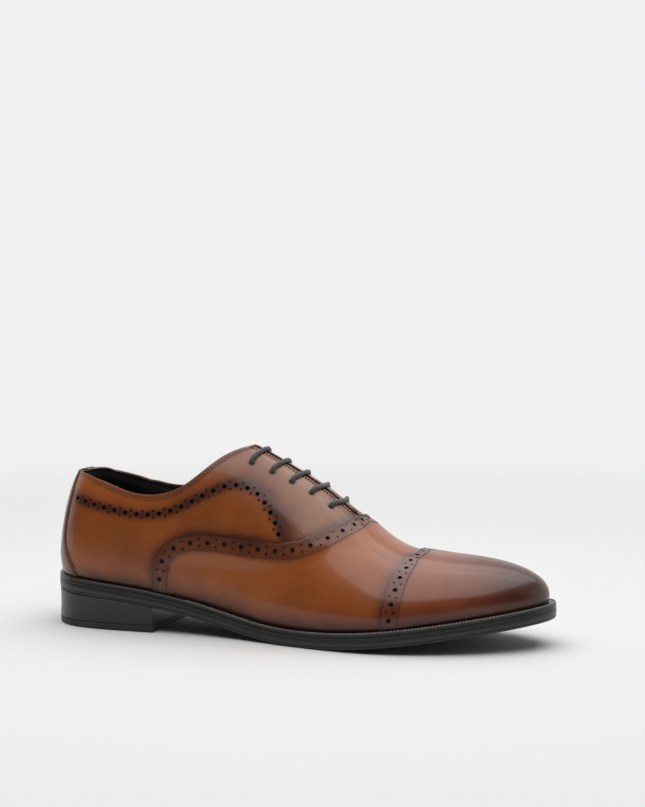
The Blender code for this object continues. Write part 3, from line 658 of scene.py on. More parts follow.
def newGroup(name, inputs, outputs):
    group = bpy.data.node_groups.new(name, "ShaderNodeTree")
    for label, kind, value in inputs:
        socket = group.interface.new_socket(label, in_out="INPUT", socket_type=kind)
        if value is not None:
            socket.default_value = value
    for label, kind in outputs:
        group.interface.new_socket(label, in_out="OUTPUT", socket_type=kind)
    return group, group.nodes.new("NodeGroupInput"), group.nodes.new("NodeGroupOutput")


def join(tree, sockets):
    # links a node output to each socket, or sets its value
    for socket, value in sockets:
        if isinstance(value, bpy.types.NodeSocket):
            tree.links.new(value, socket)
        else:
            socket.default_value = value


def named(made, key):
    return made.inputs[int(key[1:])] if key[0] == "_" else made.inputs[key.replace("_", " ")]


def put(tree, kind, settings=None, **sockets):
    # one node, with its sockets linked or set by name, or by number after an underscore
    made = tree.nodes.new(kind)
    for key, value in (settings or {}).items():
        setattr(made, key, value)
    join(tree, [(named(made, key), value) for key, value in sockets.items()])
    return made


def blendColour(tree, amount, first, second):
    made = put(tree, "ShaderNodeMix", {"data_type": "RGBA"})
    join(tree, [(made.inputs[0], amount), (made.inputs[6], first), (made.inputs[7], second)])
    return made.outputs[2]


def compute(tree, operation, first, second=0.0, clamp=False):
    return put(tree, "ShaderNodeMath", {"operation": operation, "use_clamp": clamp},
               _0=first, _1=second).outputs[0]


def spread(tree, value, low, high, fromLow=0.0, fromHigh=1.0):
    return put(tree, "ShaderNodeMapRange", None, Value=value, _1=fromLow, _2=fromHigh,
               _3=low, _4=high).outputs[0]


def makeGrain():
    # fine calf pores and creases, with a slow mottle
    group, start, end = newGroup("calfGrain", [
        ("Vector", "NodeSocketVector", None), ("Pores", "NodeSocketFloat", 900.0),
        ("Mottle Scale", "NodeSocketFloat", 32.0)],
        [("Height", "NodeSocketFloat"), ("Mottle", "NodeSocketFloat"), ("Sheen", "NodeSocketFloat")])
    cells = put(group, "ShaderNodeTexVoronoi", {"feature": "DISTANCE_TO_EDGE"},
                Vector=start.outputs["Vector"], Scale=start.outputs["Pores"])
    fine = put(group, "ShaderNodeTexNoise", None, Vector=start.outputs["Vector"], Scale=1600.0, Detail=2.0)
    folds = put(group, "ShaderNodeTexNoise", None, Vector=start.outputs["Vector"], Scale=170.0, Detail=3.0)
    mottle = put(group, "ShaderNodeTexNoise", None, Vector=start.outputs["Vector"],
                 Scale=start.outputs["Mottle Scale"], Detail=4.0, Roughness=0.55)
    sheen = put(group, "ShaderNodeTexNoise", None, Vector=start.outputs["Vector"], Scale=90.0, Detail=5.0,
                Roughness=0.6)
    pores = spread(group, cells.outputs["Distance"], 0.0, 1.0, 0.0, 0.22)
    height = compute(group, "MULTIPLY", pores, 0.35)
    height = compute(group, "ADD", height, compute(group, "MULTIPLY", fine.outputs[0], 0.25))
    height = compute(group, "ADD", height, compute(group, "MULTIPLY", folds.outputs[0], 0.55))
    group.links.new(height, end.inputs["Height"])
    group.links.new(mottle.outputs[0], end.inputs["Mottle"])
    group.links.new(sheen.outputs[0], end.inputs["Sheen"])
    return group


def makePatina():
    # hand-burnished colour: light to deep by the amount of polish and by painted shade in stitch grooves and
    # at hole rims, pale where it was left bare
    group, start, end = newGroup("handPatina", [
        ("Light", "NodeSocketColor", None), ("Middle", "NodeSocketColor", None),
        ("Deep", "NodeSocketColor", None), ("Bare", "NodeSocketColor", None),
        ("Rubbed", "NodeSocketColor", None),
        ("Dark", "NodeSocketFloat", 0.0), ("Pale", "NodeSocketFloat", 0.0),
        ("Rub", "NodeSocketFloat", 0.0), ("Mottle", "NodeSocketFloat", 0.5)],
        [("Color", "NodeSocketColor")])
    cloud = spread(group, start.outputs["Mottle"], -0.16, 0.16, 0.25, 0.75)
    amount = compute(group, "ADD", start.outputs["Dark"], cloud, True)
    lower = spread(group, amount, 0.0, 1.0, 0.0, 0.5)
    upper = spread(group, amount, 0.0, 1.0, 0.45, 1.0)
    base = blendColour(group, start.outputs["Pale"], start.outputs["Light"], start.outputs["Bare"])
    colour = blendColour(group, lower, base, start.outputs["Middle"])
    colour = blendColour(group, upper, colour, start.outputs["Deep"])
    rubbed = compute(group, "MULTIPLY", start.outputs["Rub"], 0.5)
    colour = blendColour(group, rubbed, colour, start.outputs["Rubbed"])
    group.links.new(colour, end.inputs["Color"])
    return group


def makeWear():
    # dust and scuffs for plain surfaces: a cloudy mask and a fine height
    group, start, end = newGroup("fineWear", [
        ("Vector", "NodeSocketVector", None), ("Scale", "NodeSocketFloat", 60.0),
        ("Fine Scale", "NodeSocketFloat", 900.0)],
        [("Mask", "NodeSocketFloat"), ("Height", "NodeSocketFloat")])
    cloud = put(group, "ShaderNodeTexNoise", None, Vector=start.outputs["Vector"],
                Scale=start.outputs["Scale"], Detail=5.0, Roughness=0.65)
    fine = put(group, "ShaderNodeTexNoise", None, Vector=start.outputs["Vector"],
               Scale=start.outputs["Fine Scale"], Detail=3.0)
    group.links.new(cloud.outputs[0], end.inputs["Mask"])
    group.links.new(fine.outputs[0], end.inputs["Height"])
    return group


calfGrain, handPatina, fineWear = makeGrain(), makePatina(), makeWear()


def startMaterial(name):
    look = bpy.data.materials.new(name)
    look.use_nodes = True
    tree = look.node_tree
    shader = tree.nodes["Principled BSDF"]
    place = tree.nodes.new("ShaderNodeTexCoord").outputs["Object"]
    return look, tree, shader, place


def grouped(tree, group, **sockets):
    return put(tree, "ShaderNodeGroup", {"node_tree": group}, **sockets)


def bumped(tree, shader, height, distance):
    bump = put(tree, "ShaderNodeBump", None, Strength=1.0, Distance=distance, Height=height)
    tree.links.new(bump.outputs[0], shader.inputs["Normal"])


calfLook = {
    "light": (0.30, 0.074, 0.0112, 1), "middle": (0.095, 0.02, 0.004, 1), "deep": (0.030, 0.0065, 0.0032, 1),
    "lightCap": (0.215, 0.048, 0.0095, 1), "middleCap": (0.085, 0.016, 0.0055, 1),
    "bare": (0.25, 0.098, 0.042, 1), "rubbed": (0.30, 0.13, 0.06, 1),
    "roughLow": 0.34, "roughHigh": 0.46, "coat": 0.46, "coatRoughness": 0.16, "specular": 0.3,
    "bump": 0.00005,
}


def makeCalf(name, light, middle):
    look, tree, shader, place = startMaterial(name)
    grain = grouped(tree, calfGrain, Vector=place)
    held = {}
    for key in ("dark", "pale", "rub"):
        held[key] = put(tree, "ShaderNodeAttribute", {"attribute_name": key}).outputs["Fac"]
    tone = grouped(tree, handPatina, Light=light, Middle=middle, Deep=calfLook["deep"],
                   Bare=calfLook["bare"], Rubbed=calfLook["rubbed"], Dark=held["dark"],
                   Pale=held["pale"], Rub=held["rub"], Mottle=grain.outputs["Mottle"])
    tree.links.new(tone.outputs["Color"], shader.inputs["Base Color"])
    rough = spread(tree, grain.outputs["Sheen"], calfLook["roughLow"], calfLook["roughHigh"], 0.3, 0.7)
    tree.links.new(rough, shader.inputs["Roughness"])
    shader.inputs["Coat Weight"].default_value = calfLook["coat"]
    shader.inputs["Coat Roughness"].default_value = calfLook["coatRoughness"]
    shader.inputs["Specular IOR Level"].default_value = calfLook["specular"]
    bumped(tree, shader, grain.outputs["Height"], calfLook["bump"])
    return look


def makePlain(name, colour, worn, roughness, wear, fine, bump=0.00003, metal=0.0, coat=0.0,
              span=(0.35, 0.7)):
    look, tree, shader, place = startMaterial(name)
    use = grouped(tree, fineWear, Vector=place, Scale=wear, Fine_Scale=fine)
    amount = spread(tree, use.outputs["Mask"], 0.0, 1.0, *span)
    tree.links.new(blendColour(tree, amount, (*colour, 1), (*worn, 1)), shader.inputs["Base Color"])
    rough = spread(tree, use.outputs["Height"], roughness - 0.07, roughness + 0.07, 0.3, 0.7)
    tree.links.new(rough, shader.inputs["Roughness"])
    shader.inputs["Metallic"].default_value = metal
    shader.inputs["Coat Weight"].default_value = coat
    shader.inputs["Coat Roughness"].default_value = 0.2
    bumped(tree, shader, use.outputs["Height"], bump)
    return look


def makeCord(name, colour, worn, turns, pitch):
    # spun or braided thread: slanting strands from the tube's own attributes
    look, tree, shader, place = startMaterial(name)
    along = put(tree, "ShaderNodeAttribute", {"attribute_name": "along"}).outputs["Fac"]
    around = put(tree, "ShaderNodeAttribute", {"attribute_name": "around"}).outputs["Fac"]
    forward = compute(tree, "MULTIPLY", along, 2 * math.pi / pitch)
    turn = compute(tree, "MULTIPLY", around, 2 * math.pi * turns)
    first = compute(tree, "SINE", compute(tree, "ADD", forward, turn))
    second = compute(tree, "SINE", compute(tree, "SUBTRACT", forward, turn))
    braid = compute(tree, "MULTIPLY", first, second)
    fuzz = put(tree, "ShaderNodeTexNoise", None, Vector=place, Scale=2200.0, Detail=3.0)
    height = compute(tree, "ADD", spread(tree, braid, 0.0, 1.0, -1.0, 1.0), fuzz.outputs[0])
    amount = spread(tree, height, 0.0, 1.0, 0.5, 1.5)
    tree.links.new(blendColour(tree, amount, colour, worn), shader.inputs["Base Color"])
    shader.inputs["Roughness"].default_value = 0.62
    shader.inputs["Sheen Weight"].default_value = 0.25
    bumped(tree, shader, height, 0.00012)
    return look


brownCalf = makeCalf("brownCalf", calfLook["light"], calfLook["middle"])
burnishedCalf = makeCalf("burnishedCalf", calfLook["lightCap"], calfLook["middleCap"])
# colour, worn colour, roughness, scale of the wear, scale of the grain, bump in metres, metal, coat,
# and where the wear starts and ends
plainLooks = {
    # near-black painted shade for covered leather and hole walls seen through the brogue holes
    "paintedShadeLeather": ((0.006, 0.003, 0.0025), (0.012, 0.005, 0.004), 0.85, 300, 1500),
    "cutLeatherEdge": ((0.25, 0.11, 0.05), (0.12, 0.045, 0.02), 0.6, 300, 1500, 0.00006),
    "blackLiningLeather": ((0.012, 0.011, 0.011), (0.022, 0.020, 0.019), 0.42, 70, 1100, 0.00005),
    "waxedSoleEdge": ((0.008, 0.008, 0.0084), (0.014, 0.0137, 0.0137), 0.4, 55, 700, 0.00003, 0.0, 0.12),
    "blackHeelRubber": ((0.014, 0.014, 0.0145), (0.03, 0.03, 0.03), 0.6, 80, 1400, 0.00007),
    "fibreBoard": ((0.30, 0.19, 0.10), (0.20, 0.12, 0.06), 0.8, 180, 700, 0.0001),
    # near-black painted shade for the hidden stiffeners seen through the holes
    "paintedShadeBoard": ((0.012, 0.010, 0.009), (0.022, 0.018, 0.015), 0.85, 180, 700, 0.0001),
    "corkPaste": ((0.30, 0.17, 0.08), (0.07, 0.035, 0.015), 0.85, 420, 600, 0.0003, 0.0, 0.0, (0.5, 0.62)),
    "springSteel": ((0.45, 0.46, 0.48), (0.30, 0.31, 0.33), 0.3, 90, 900, 0.00002, 1.0),
    "brassNails": ((0.72, 0.48, 0.18), (0.45, 0.28, 0.10), 0.3, 500, 1500, 0.00002, 1.0),
    "blackenedEyelets": ((0.03, 0.028, 0.027), (0.09, 0.07, 0.05), 0.38, 500, 1500, 0.00002, 0.6),
    "laceTips": ((0.035, 0.035, 0.037), (0.07, 0.07, 0.07), 0.25, 300, 900, 0.00002),
    "brownThread": ((0.008, 0.004, 0.0035), (0.022, 0.009, 0.007), 0.65, 700, 2600, 0.00006),
    "greyThread": ((0.34, 0.325, 0.29), (0.18, 0.17, 0.155), 0.65, 700, 2600, 0.00006),
}
plain = {name: makePlain(name, *values) for name, values in plainLooks.items()}
waxedCotton = makeCord("waxedCotton", (0.012, 0.0125, 0.013, 1), (0.062, 0.064, 0.066, 1), 4, 0.0021)
print("materials ready")


# Upper

# columns and rows of each panel's grid, and places where the panels end
panelLook = {
    "vamp": (190, 44), "cap": (110, 54), "quarter": (190, 50), "strap": (30, 60), "lining": (150, 30),
    "rearEnd": 7.0, "strapLap": 3.5, "wingLap": 0.08, "wingLapFrom": (76.0, 79.5),
    "liningWall": (-1.02, -2.8),
}


def arcStations(outline, low, high, part, fine=2001):
    # stations at even steps around an outline
    station = outline.low + (outline.high - outline.low) * (1 - np.cos(np.linspace(0, np.pi, fine))) / 2
    along = np.concatenate([[0], np.cumsum(np.hypot(np.diff(station), np.diff(outline.y(station, outer))))])
    first, last = np.interp([low, high], station, along)
    return np.interp(first + (last - first) * part, along, station)


def upTo(low, high, part):
    first, last = np.arcsin(np.clip(low, 0, 1)), np.arcsin(np.clip(high, 0, 1))
    return np.clip(np.sin(first + (last - first) * part), low, high)


def makeVamp():
    start, throat = wingKnots[0, 0], wingKnots[-1, 0]
    ahead = np.linspace(throat, seams["cap"] + 6.0, 60)[1:]
    station = np.append(np.linspace(start + 0.05, throat, 600), ahead)
    climb = np.diff(wingShare(station), prepend=wingShare(station[0])) * 80
    along = np.cumsum(np.hypot(np.diff(station, prepend=station[0]), climb))

    def place(side, a, b):
        at = np.interp(a * along[-1], along, station)
        share = upTo(0 * at, wingShare(at), b)
        where = leaning(at, share)
        return where, share, vampLift(where, share)

    return gridPanel("vampPiece", *panelLook["vamp"], place)


def makeToeCap():
    def place(side, a, b):
        at = arcStations(featherLine, seams["cap"], toeTip, a)
        share = upTo(0 * at, 1 + 0 * at, b)
        where = leaning(at, share)
        return where, share, capLift(where, share)

    return gridPanel("toeCapPiece", *panelLook["cap"], place)


def makeQuarter(name, side):
    rearEnd, hidden = panelLook["rearEnd"], seams["throat"] + 5

    def place(side, a, b):
        at = arcStations(featherLine, rearEnd, hidden, a)
        low = np.maximum(wingShare(at) - panelLook["wingLap"], 0) * smooth(*panelLook["wingLapFrom"], at)
        share = upTo(low, quarterTop(at, side), b)
        rear = np.minimum(strapEdge(share) - panelLook["strapLap"] - rearEnd, 2 * rearEnd)
        return at + rear * (1 - smooth(rearEnd, 30.0, at)), share, quarterLift(at, share)

    return gridPanel(name, *panelLook["quarter"], place, (side,))


def makeStrap():
    def place(side, a, b):
        share = b * float(toplineShare(heelBack))
        station = heelBack + (strapEdge(share) - heelBack) * a ** 2
        share = b * (toplineShare(station) - 0.001)
        return station, share, strapLift(station, share)

    return gridPanel("backStrapPiece", *panelLook["strap"], place)


def makeLining():
    high, low = panelLook["liningWall"]

    def place(side, a, b):
        at = arcStations(featherLine, heelBack, toeTip, a)
        top = np.where(at < 200, quarterTop(at, side), 1.0) - 0.004 * (at < 200)
        share = upTo(0.02 + 0 * at, top, b)
        deep = smooth(0.0, 0.075, top - share) * (at < 200) + (at >= 200)
        near = high - 1.5 * smooth(100, 118, at)
        return at, share, near + (low - near) * deep

    return gridPanel("shoeLining", *panelLook["lining"], place)


laceLook = {
    "eyelets": [177.5, 165.1, 152.5, 140.0, 126.9], "eyeletSide": 13.0, "holeRadius": 1.75, "radius": 1.28,
    "bar": 1.3, "barLean": 5.2, "run": -6.9, "bend": 1.6, "lane": 3.6, "tailLean": 2.5,
    "tailDrops": (0.06, 0.12, 0.19, 0.26, 0.3), "step": 0.3, "sides": 20, "strands": 4, "strandPitch": 2.1,
    "strandDepth": 0.045,
}


def eyeletPoint(station, side, offset, aside=0.0):
    return onLast(station, side, shareAt(station, side, laceLook["eyeletSide"] + aside), offset)


holes = {"vamp": [], "cap": [], "quarters": {}, "eyelets": {}}
for side, own in lines.items():
    holes["vamp"] += brogueHoles(own["wingMiddle"], brogueLook["bandPitch"], brogueLook["pairAside"], 3.0,
                                 True)
    holes["cap"] += brogueHoles(own["capMiddle"], brogueLook["capPitch"], brogueLook["pairAside"], 1.0)
    holes["quarters"][side] = brogueHoles(own["brogue"], brogueLook["rowPitch"], brogueLook["pairAsideRow"])
    holes["eyelets"][side] = []
    for station in laceLook["eyelets"]:
        middle = eyeletPoint(station, side, 0.0)
        way = eyeletPoint(station, side, 1.0) - middle
        holes["eyelets"][side].append((middle, way, laceLook["holeRadius"]))


def underneath(piece, table, test):
    # the covered part of a panel is painted near-black, as shade seen through the brogue holes: its faces
    # take the last material
    last = len(piece.data.materials) - 1
    faces = piece.data.polygons
    for face, row in zip(faces, tableRows(table, [face.center for face in faces])):
        if test(row[3], row[5]):
            face.material_index = last


def finishPanel(piece, table, punches, looks, rim=0, hidden=None):
    for look in looks:
        piece.data.materials.append(look)
    walled(piece, leather["wall"], leather["edge"], rim)
    # the hole walls take the last material, a near-black painted shade
    punched(piece, punches, 5.0, looks[-1])
    patina(piece, table, punches)
    if hidden is not None:
        underneath(piece, table, hidden)
    shaded(piece)
    return piece


vampPiece, vampTable = makeVamp()
finishPanel(vampPiece, vampTable, holes["vamp"], [brownCalf, plain["paintedShadeLeather"]], 0,
            lambda station, share: station > seams["cap"] + capLean(share) + 0.6)
dress(vampPiece, "shoe", ("vamp",))

toeCapPiece, capTable = makeToeCap()
finishPanel(toeCapPiece, capTable, holes["cap"], [burnishedCalf, plain["paintedShadeLeather"]])
dress(toeCapPiece, "shoe", ("toe_cap",))

quarters = ((outer, "quarterOuterSide", "quarter_lateral"), (inner, "quarterInnerSide", "quarter_medial"))
for side, name, node in quarters:
    piece, table = makeQuarter(name, side)
    punches = holes["quarters"][side] + holes["eyelets"][side]
    finishPanel(piece, table, punches, [brownCalf, plain["cutLeatherEdge"], plain["paintedShadeLeather"]], 1,
                lambda station, share: share < wingShare(station) - 0.012)
    dress(piece, "shoe", (node,))

strapPiece, strapTable = makeStrap()
finishPanel(strapPiece, strapTable, [], [burnishedCalf, plain["cutLeatherEdge"]], 1)
dress(strapPiece, "shoe", ("back_strap",))

liningPiece, liningTable = makeLining()
liningPiece.data.materials.append(plain["blackLiningLeather"])
walled(liningPiece, leather["lining"], 0)
punched(liningPiece, holes["eyelets"][outer] + holes["eyelets"][inner], 12.0, plain["blackLiningLeather"])
shaded(liningPiece, 50)
linings = ("quarter_lining_lateral", "quarter_lining_medial", "vamp_lining")
dress(liningPiece, "shoe", linings)
print("upper ready")


# Stitching of the upper

upperRows = []
for side, own in lines.items():
    for name, insets in stitchLook["rows"].items():
        upperRows += [own[name].shifted(inset * side) if inset else own[name] for inset in insets]
stitchPiece("upperStitches", upperRows, plain["brownThread"], stitchLook)
print("stitches ready")


# Tongue

tongueLook = {
    "base": 191.0, "top": 112.0, "wall": 1.9, "edge": 0.5, "grid": (60, 16), "dark": 0.25, "pale": 0.5,
    "lift": [(112, -8.4), (120, -8.7), (176, -8.7), (184, -7.9), (192, -6.5)],
    "half": [(112, 11.5), (118, 14), (130, 17), (160, 22), (192, 18)],
}
tongueLift, tongueHalf = spline(tongueLook["lift"]), spline(tongueLook["half"])


def makeTongue():
    top, base = tongueLook["top"], tongueLook["base"]

    def place(side, a, b):
        at = top + (base - top) * a
        return at, shareAt(at, side, tongueHalf(at) * (1 - b)), tongueLift(at)

    return gridPanel("tonguePiece", *tongueLook["grid"], place)


tonguePiece, tongueTable = makeTongue()
walled(tonguePiece, tongueLook["wall"], tongueLook["edge"])
even = np.ones(len(tonguePiece.data.vertices))
paint(tonguePiece, dark=tongueLook["dark"] * even, pale=tongueLook["pale"] * even, rub=0 * even)
shaded(tonguePiece)
dress(tonguePiece, "tongue", ("tongue",), brownCalf)


# Lace

def barPoints(number, first):
    # a bar over the throat, leaning forwards towards the ridge
    points = []
    for side, order in ((first, (7.5, 2.4)), (-first, (2.4, 7.5))):
        for distance in order:
            lean = laceLook["barLean"] * (1 - distance / laceLook["eyeletSide"])
            at = laceLook["eyelets"][number] + lean
            points.append(onLast(at, side, shareAt(at, side, distance), laceLook["bar"]))
    return points


def eyeletTurn(number, side, way):
    # over the eyelet's edge, down through it, and off along the inside
    station, bar, bend, run = laceLook["eyelets"][number], laceLook["bar"], laceLook["bend"], laceLook["run"]
    lean = 0.3 * bend
    step, aside = way
    reach = laceLook["eyeletSide"]
    return [
        onLast(station, side, shareAt(station, side, reach - bend), bar),
        onLast(station, side, shareAt(station, side, reach - lean), bar - lean),
        eyeletPoint(station, side, bar - bend),
        eyeletPoint(station, side, run + bend),
        eyeletPoint(station + step * lean, side, run + lean, aside * lean),
        eyeletPoint(station + step * bend, side, run, aside * bend),
    ]


def laceRun(first, last, side, lane):
    start, end = laceLook["eyelets"][first], laceLook["eyelets"][last]
    if not lane:
        return [eyeletPoint((start + end) / 2, side, laceLook["run"])]
    return [eyeletPoint(start + (end - start) * part, side, laceLook["run"], lane) for part in (0.35, 0.65)]


def laceTail(number, side):
    station = laceLook["eyelets"][number]
    start = shareAt(station, side, laceLook["eyeletSide"])
    return [onLast(station, side, start - drop, laceLook["run"] - drop * laceLook["tailLean"])
            for drop in laceLook["tailDrops"]]


def laceRoute():
    back, forward, aside, lane = (-1, 0), (1, 0), (0, 1), laceLook["lane"]
    route = laceTail(3, outer)[::-1] + eyeletTurn(3, outer, aside)[::-1]
    route += barPoints(3, outer) + eyeletTurn(3, inner, forward)
    route += laceRun(3, 1, inner, lane) + eyeletTurn(1, inner, back)[::-1]
    route += barPoints(1, inner) + eyeletTurn(1, outer, forward)
    route += laceRun(1, 0, outer, 0) + eyeletTurn(0, outer, back)[::-1]
    route += barPoints(0, outer) + eyeletTurn(0, inner, back)
    route += laceRun(0, 2, inner, -lane) + eyeletTurn(2, inner, forward)[::-1]
    route += barPoints(2, inner) + eyeletTurn(2, outer, back)
    route += laceRun(2, 4, outer, -lane) + eyeletTurn(4, outer, forward)[::-1]
    return np.array(route + barPoints(4, outer) + eyeletTurn(4, inner, aside) + laceTail(4, inner))


def evenRun(points, step, rounds=4):
    along = np.concatenate([[0], np.cumsum(np.linalg.norm(np.diff(points, axis=0), axis=1))])
    at = np.linspace(0, along[-1], int(along[-1] / step) + 1)
    run = np.stack([np.interp(at, along, points[:, k]) for k in range(3)], -1)
    for _ in range(rounds):
        run[2:-2] = (run[:-4] + run[1:-3] + run[2:-2] + run[3:-1] + run[4:]) / 5
    return run


def roundTube(name, run, radius, sides, swell=None):
    # a closed-ended tube along a run of points, carrying its own along and around attributes
    tangent = np.gradient(run, axis=0)
    tangent /= np.linalg.norm(tangent, axis=1)[:, None]
    up = np.cross(tangent[0], [0.3, 0.2, 0.9])
    up /= np.linalg.norm(up)
    ups = []
    for way in tangent:
        up = up - way * up.dot(way)
        up /= np.linalg.norm(up)
        ups.append(up)
    ups = np.array(ups)
    sideways = np.cross(tangent, ups)
    along = np.concatenate([[0], np.cumsum(np.linalg.norm(np.diff(run, axis=0), axis=1))])
    count = len(run)
    shape = bmesh.new()
    alongLayer = shape.verts.layers.float.new("along")
    aroundLayer = shape.verts.layers.float.new("around")
    made = bmesh.ops.create_grid(shape, x_segments=count - 1, y_segments=sides, size=0.5)["verts"]
    flat = np.array([vert.co[:] for vert in made]) + 0.5
    index = np.rint(flat[:, 0] * (count - 1)).astype(int)
    angle = flat[:, 1] * 2 * np.pi
    size = radius * np.minimum(1, 0.55 + 0.45 * np.minimum(index, count - 1 - index) / 3)
    if swell is not None:
        size = size * (1 + swell(along[index], angle))
    around = ups[index] * np.cos(angle)[:, None] + sideways[index] * np.sin(angle)[:, None]
    points = run[index] + around * size[:, None]
    for vert, point, far, turn in zip(made, toFrame(points), along[index] * mm, flat[:, 1]):
        vert.co = point
        vert[alongLayer], vert[aroundLayer] = far, turn
    bmesh.ops.remove_doubles(shape, verts=shape.verts, dist=0.000002)
    bmesh.ops.holes_fill(shape, edges=[edge for edge in shape.edges if edge.is_boundary], sides=0)
    bmesh.ops.recalc_face_normals(shape, faces=shape.faces)
    piece = asPiece(name, shape)
    piece.data.shade_smooth()
    return piece


def braidSwell(along, angle):
    forward = 2 * np.pi * along / laceLook["strandPitch"]
    turn = laceLook["strands"] * angle
    return laceLook["strandDepth"] * np.sin(forward + turn) * np.sin(forward - turn)


lacePiece = roundTube("lacePiece", evenRun(laceRoute(), laceLook["step"]), laceLook["radius"],
                      laceLook["sides"], braidSwell)
dress(lacePiece, "shoe", ("lace",), waxedCotton)

# the upright seam of the lining on the inner side
seamLook = {
    "station": 45.0, "from": 0.25, "to": 0.672, "depth": -3.62, "rise": 1.72, "bend": 0.605, "radius": 0.4,
}
seamShare = np.linspace(seamLook["from"], seamLook["to"], 80)
seamDepth = seamLook["depth"] + seamLook["rise"] * smooth(seamLook["bend"], seamLook["to"], seamShare)
seamRun = onLast(seamLook["station"] + 0 * seamShare, inner, seamShare, seamDepth)
liningSeam = roundTube("liningSeam", evenRun(seamRun, 0.5, 1), seamLook["radius"], 8)
dress(liningSeam, "shoe", (), plain["blackLiningLeather"])

# the bar of thread that closes the throat
tackLook = {
    "strands": 9, "behind": 3.6, "half": 1.9, "spread": 1.1, "radius": 0.26, "lift": 1.05, "sink": 0.15,
    "weave": 0.12, "round": 1.45,
}
tackParts = []
for i in range(tackLook["strands"]):
    part = i / (tackLook["strands"] - 1) - 0.5
    station = seams["throat"] - tackLook["behind"] + tackLook["spread"] * 2 * part
    way = np.linspace(-1, 1, 13)
    side = np.where(way < 0, outer, inner)
    share = shareAt(station, side, np.abs(way) * tackLook["half"])
    lift = tackLook["lift"] * np.cos(way * tackLook["round"]) ** 0.5
    run = onLast(station + 0 * way, side, share, lift - tackLook["sink"] + tackLook["weave"] * (i % 2))
    tackParts.append(roundTube(f"throatTack{i}", evenRun(run, 0.25, 2), tackLook["radius"], 8))
with bpy.context.temp_override(active_object=tackParts[0], object=tackParts[0],
                               selected_objects=tackParts, selected_editable_objects=tackParts):
    bpy.ops.object.join()
tackParts[0].name = "throatTack"
dress(tackParts[0], "shoe", ("throat_bartack",), plain["brownThread"])
print("tongue and lace ready")


# Bottom

def weltTop(x):
    return featherZ(np.clip(x, 0, 301)) - bottom["gap"]


def outsoleTop(x):
    return weltTop(x) - bottom["welt"] - bottom["gap"]


def outsoleLow(x):
    return outsoleTop(x) - bottom["outsole"]


def edgePlace(x, side, inset, height):
    # a point of the bottom's edge, moved inwards by inset, at a height given by a function of x
    nx, ny = soleEdge.normal(x, side)
    px = np.clip(x, soleEdge.low, soleEdge.high) - nx * inset
    py = soleEdge.y(x, side) - ny * inset
    return np.stack([px, py, height(px)], -1)


soleFine = 4001


def roundLayer(name, profile, low, high, count=260, end=None, ring=False):
    # a layer of the bottom: profile is a list of (inset, share of the height) from the underside to the top
    end = soleEdge.high if end is None else end
    across = 6
    stations = arcStations(soleEdge, soleEdge.low, end, np.linspace(0, 1, count), soleFine)
    insets = np.array([p[0] for p in profile], float)
    ups = np.array([p[1] for p in profile], float)
    shape = bmesh.new()

    def level(up):
        return lambda x: low(x) + (high(x) - low(x)) * up

    def place(index, row, side):
        points = np.zeros((len(index), 3))
        for k in range(len(profile)):
            pick = row == k
            points[pick] = edgePlace(stations[index[pick]], side, insets[k], level(ups[k]))
        return points

    def sheet(rows, put):
        made = bmesh.ops.create_grid(shape, x_segments=count - 1, y_segments=rows, size=0.5)["verts"]
        flat = np.array([vert.co[:] for vert in made]) + 0.5
        index = np.rint(flat[:, 0] * (count - 1)).astype(int)
        for vert, point in zip(made, toFrame(put(index, np.rint(flat[:, 1] * rows).astype(int)))):
            vert.co = point

    for side in (outer, inner):
        sheet(len(profile) - 1, lambda index, row: place(index, row, side))
    for k in (0, len(profile) - 1):
        def cross(index, row):
            part = (row / across)[:, None]
            height = level(ups[k])
            flat = (edgePlace(stations[index], outer, insets[k], height) * (1 - part)
                    + edgePlace(stations[index], inner, insets[k], height) * part)
            flat[:, 2] = height(flat[:, 0])
            return flat
        if not ring:
            sheet(across, cross)
    if ring:
        sheet(1, lambda index, row: place(index, row * (len(profile) - 1), outer))
        sheet(1, lambda index, row: place(index, row * (len(profile) - 1), inner))
    bmesh.ops.remove_doubles(shape, verts=shape.verts, dist=0.00001)
    bmesh.ops.dissolve_degenerate(shape, edges=shape.edges, dist=0.000005)
    bmesh.ops.holes_fill(shape, edges=[edge for edge in shape.edges if edge.is_boundary], sides=0)
    return closeUp(name, shape)


weltLook = {
    "width": 6.6, "bevel": 0.7, "inset": 1.0, "from": 92.0, "back": 84.0, "pitch": 1.9, "length": 1.3,
    "radius": 0.42,
}
width, bevel = weltLook["width"], weltLook["bevel"]
weltPiece = roundLayer("weltPiece", [
    (width, 0.0), (0.3, 0.0), (0.12, 0.03), (0.1, 0.5), (0.3, 0.56), (0.3, 0.6), (0.14, 0.66), (0.2, 0.8),
    (0.2 + bevel * 0.35, 0.93), (0.2 + bevel, 1.0), (width, 1.0)],
    lambda x: weltTop(x) - bottom["welt"] - 0.15, weltTop, ring=True)
shaded(weltPiece, 50)
dress(weltPiece, "shoe", ("welt",), plain["waxedSoleEdge"])

outsolePiece = roundLayer("outsolePiece", [
    (6.0, 0.0), (1.3, 0.0), (0.55, 0.05), (0.2, 0.16), (0.12, 0.24), (0.42, 0.27), (0.42, 0.295),
    (0.1, 0.33), (0.0, 0.5), (0.0, 0.94), (0.12, 0.985), (0.3, 1.0), (6.0, 1.0)], outsoleLow, outsoleTop)
shaded(outsolePiece, 50)
dress(outsolePiece, "shoe", ("outsole",), plain["waxedSoleEdge"])

heelLook = {"foot": 0.35, "waist": 0.55, "gap": 0.12, "nailHole": 1.05}


def stackLow(x):
    return 0 * np.asarray(x, float) + floorZ + bottom["topPiece"] + heelLook["gap"]


def stackHigh(x):
    return outsoleLow(x) - heelLook["gap"]


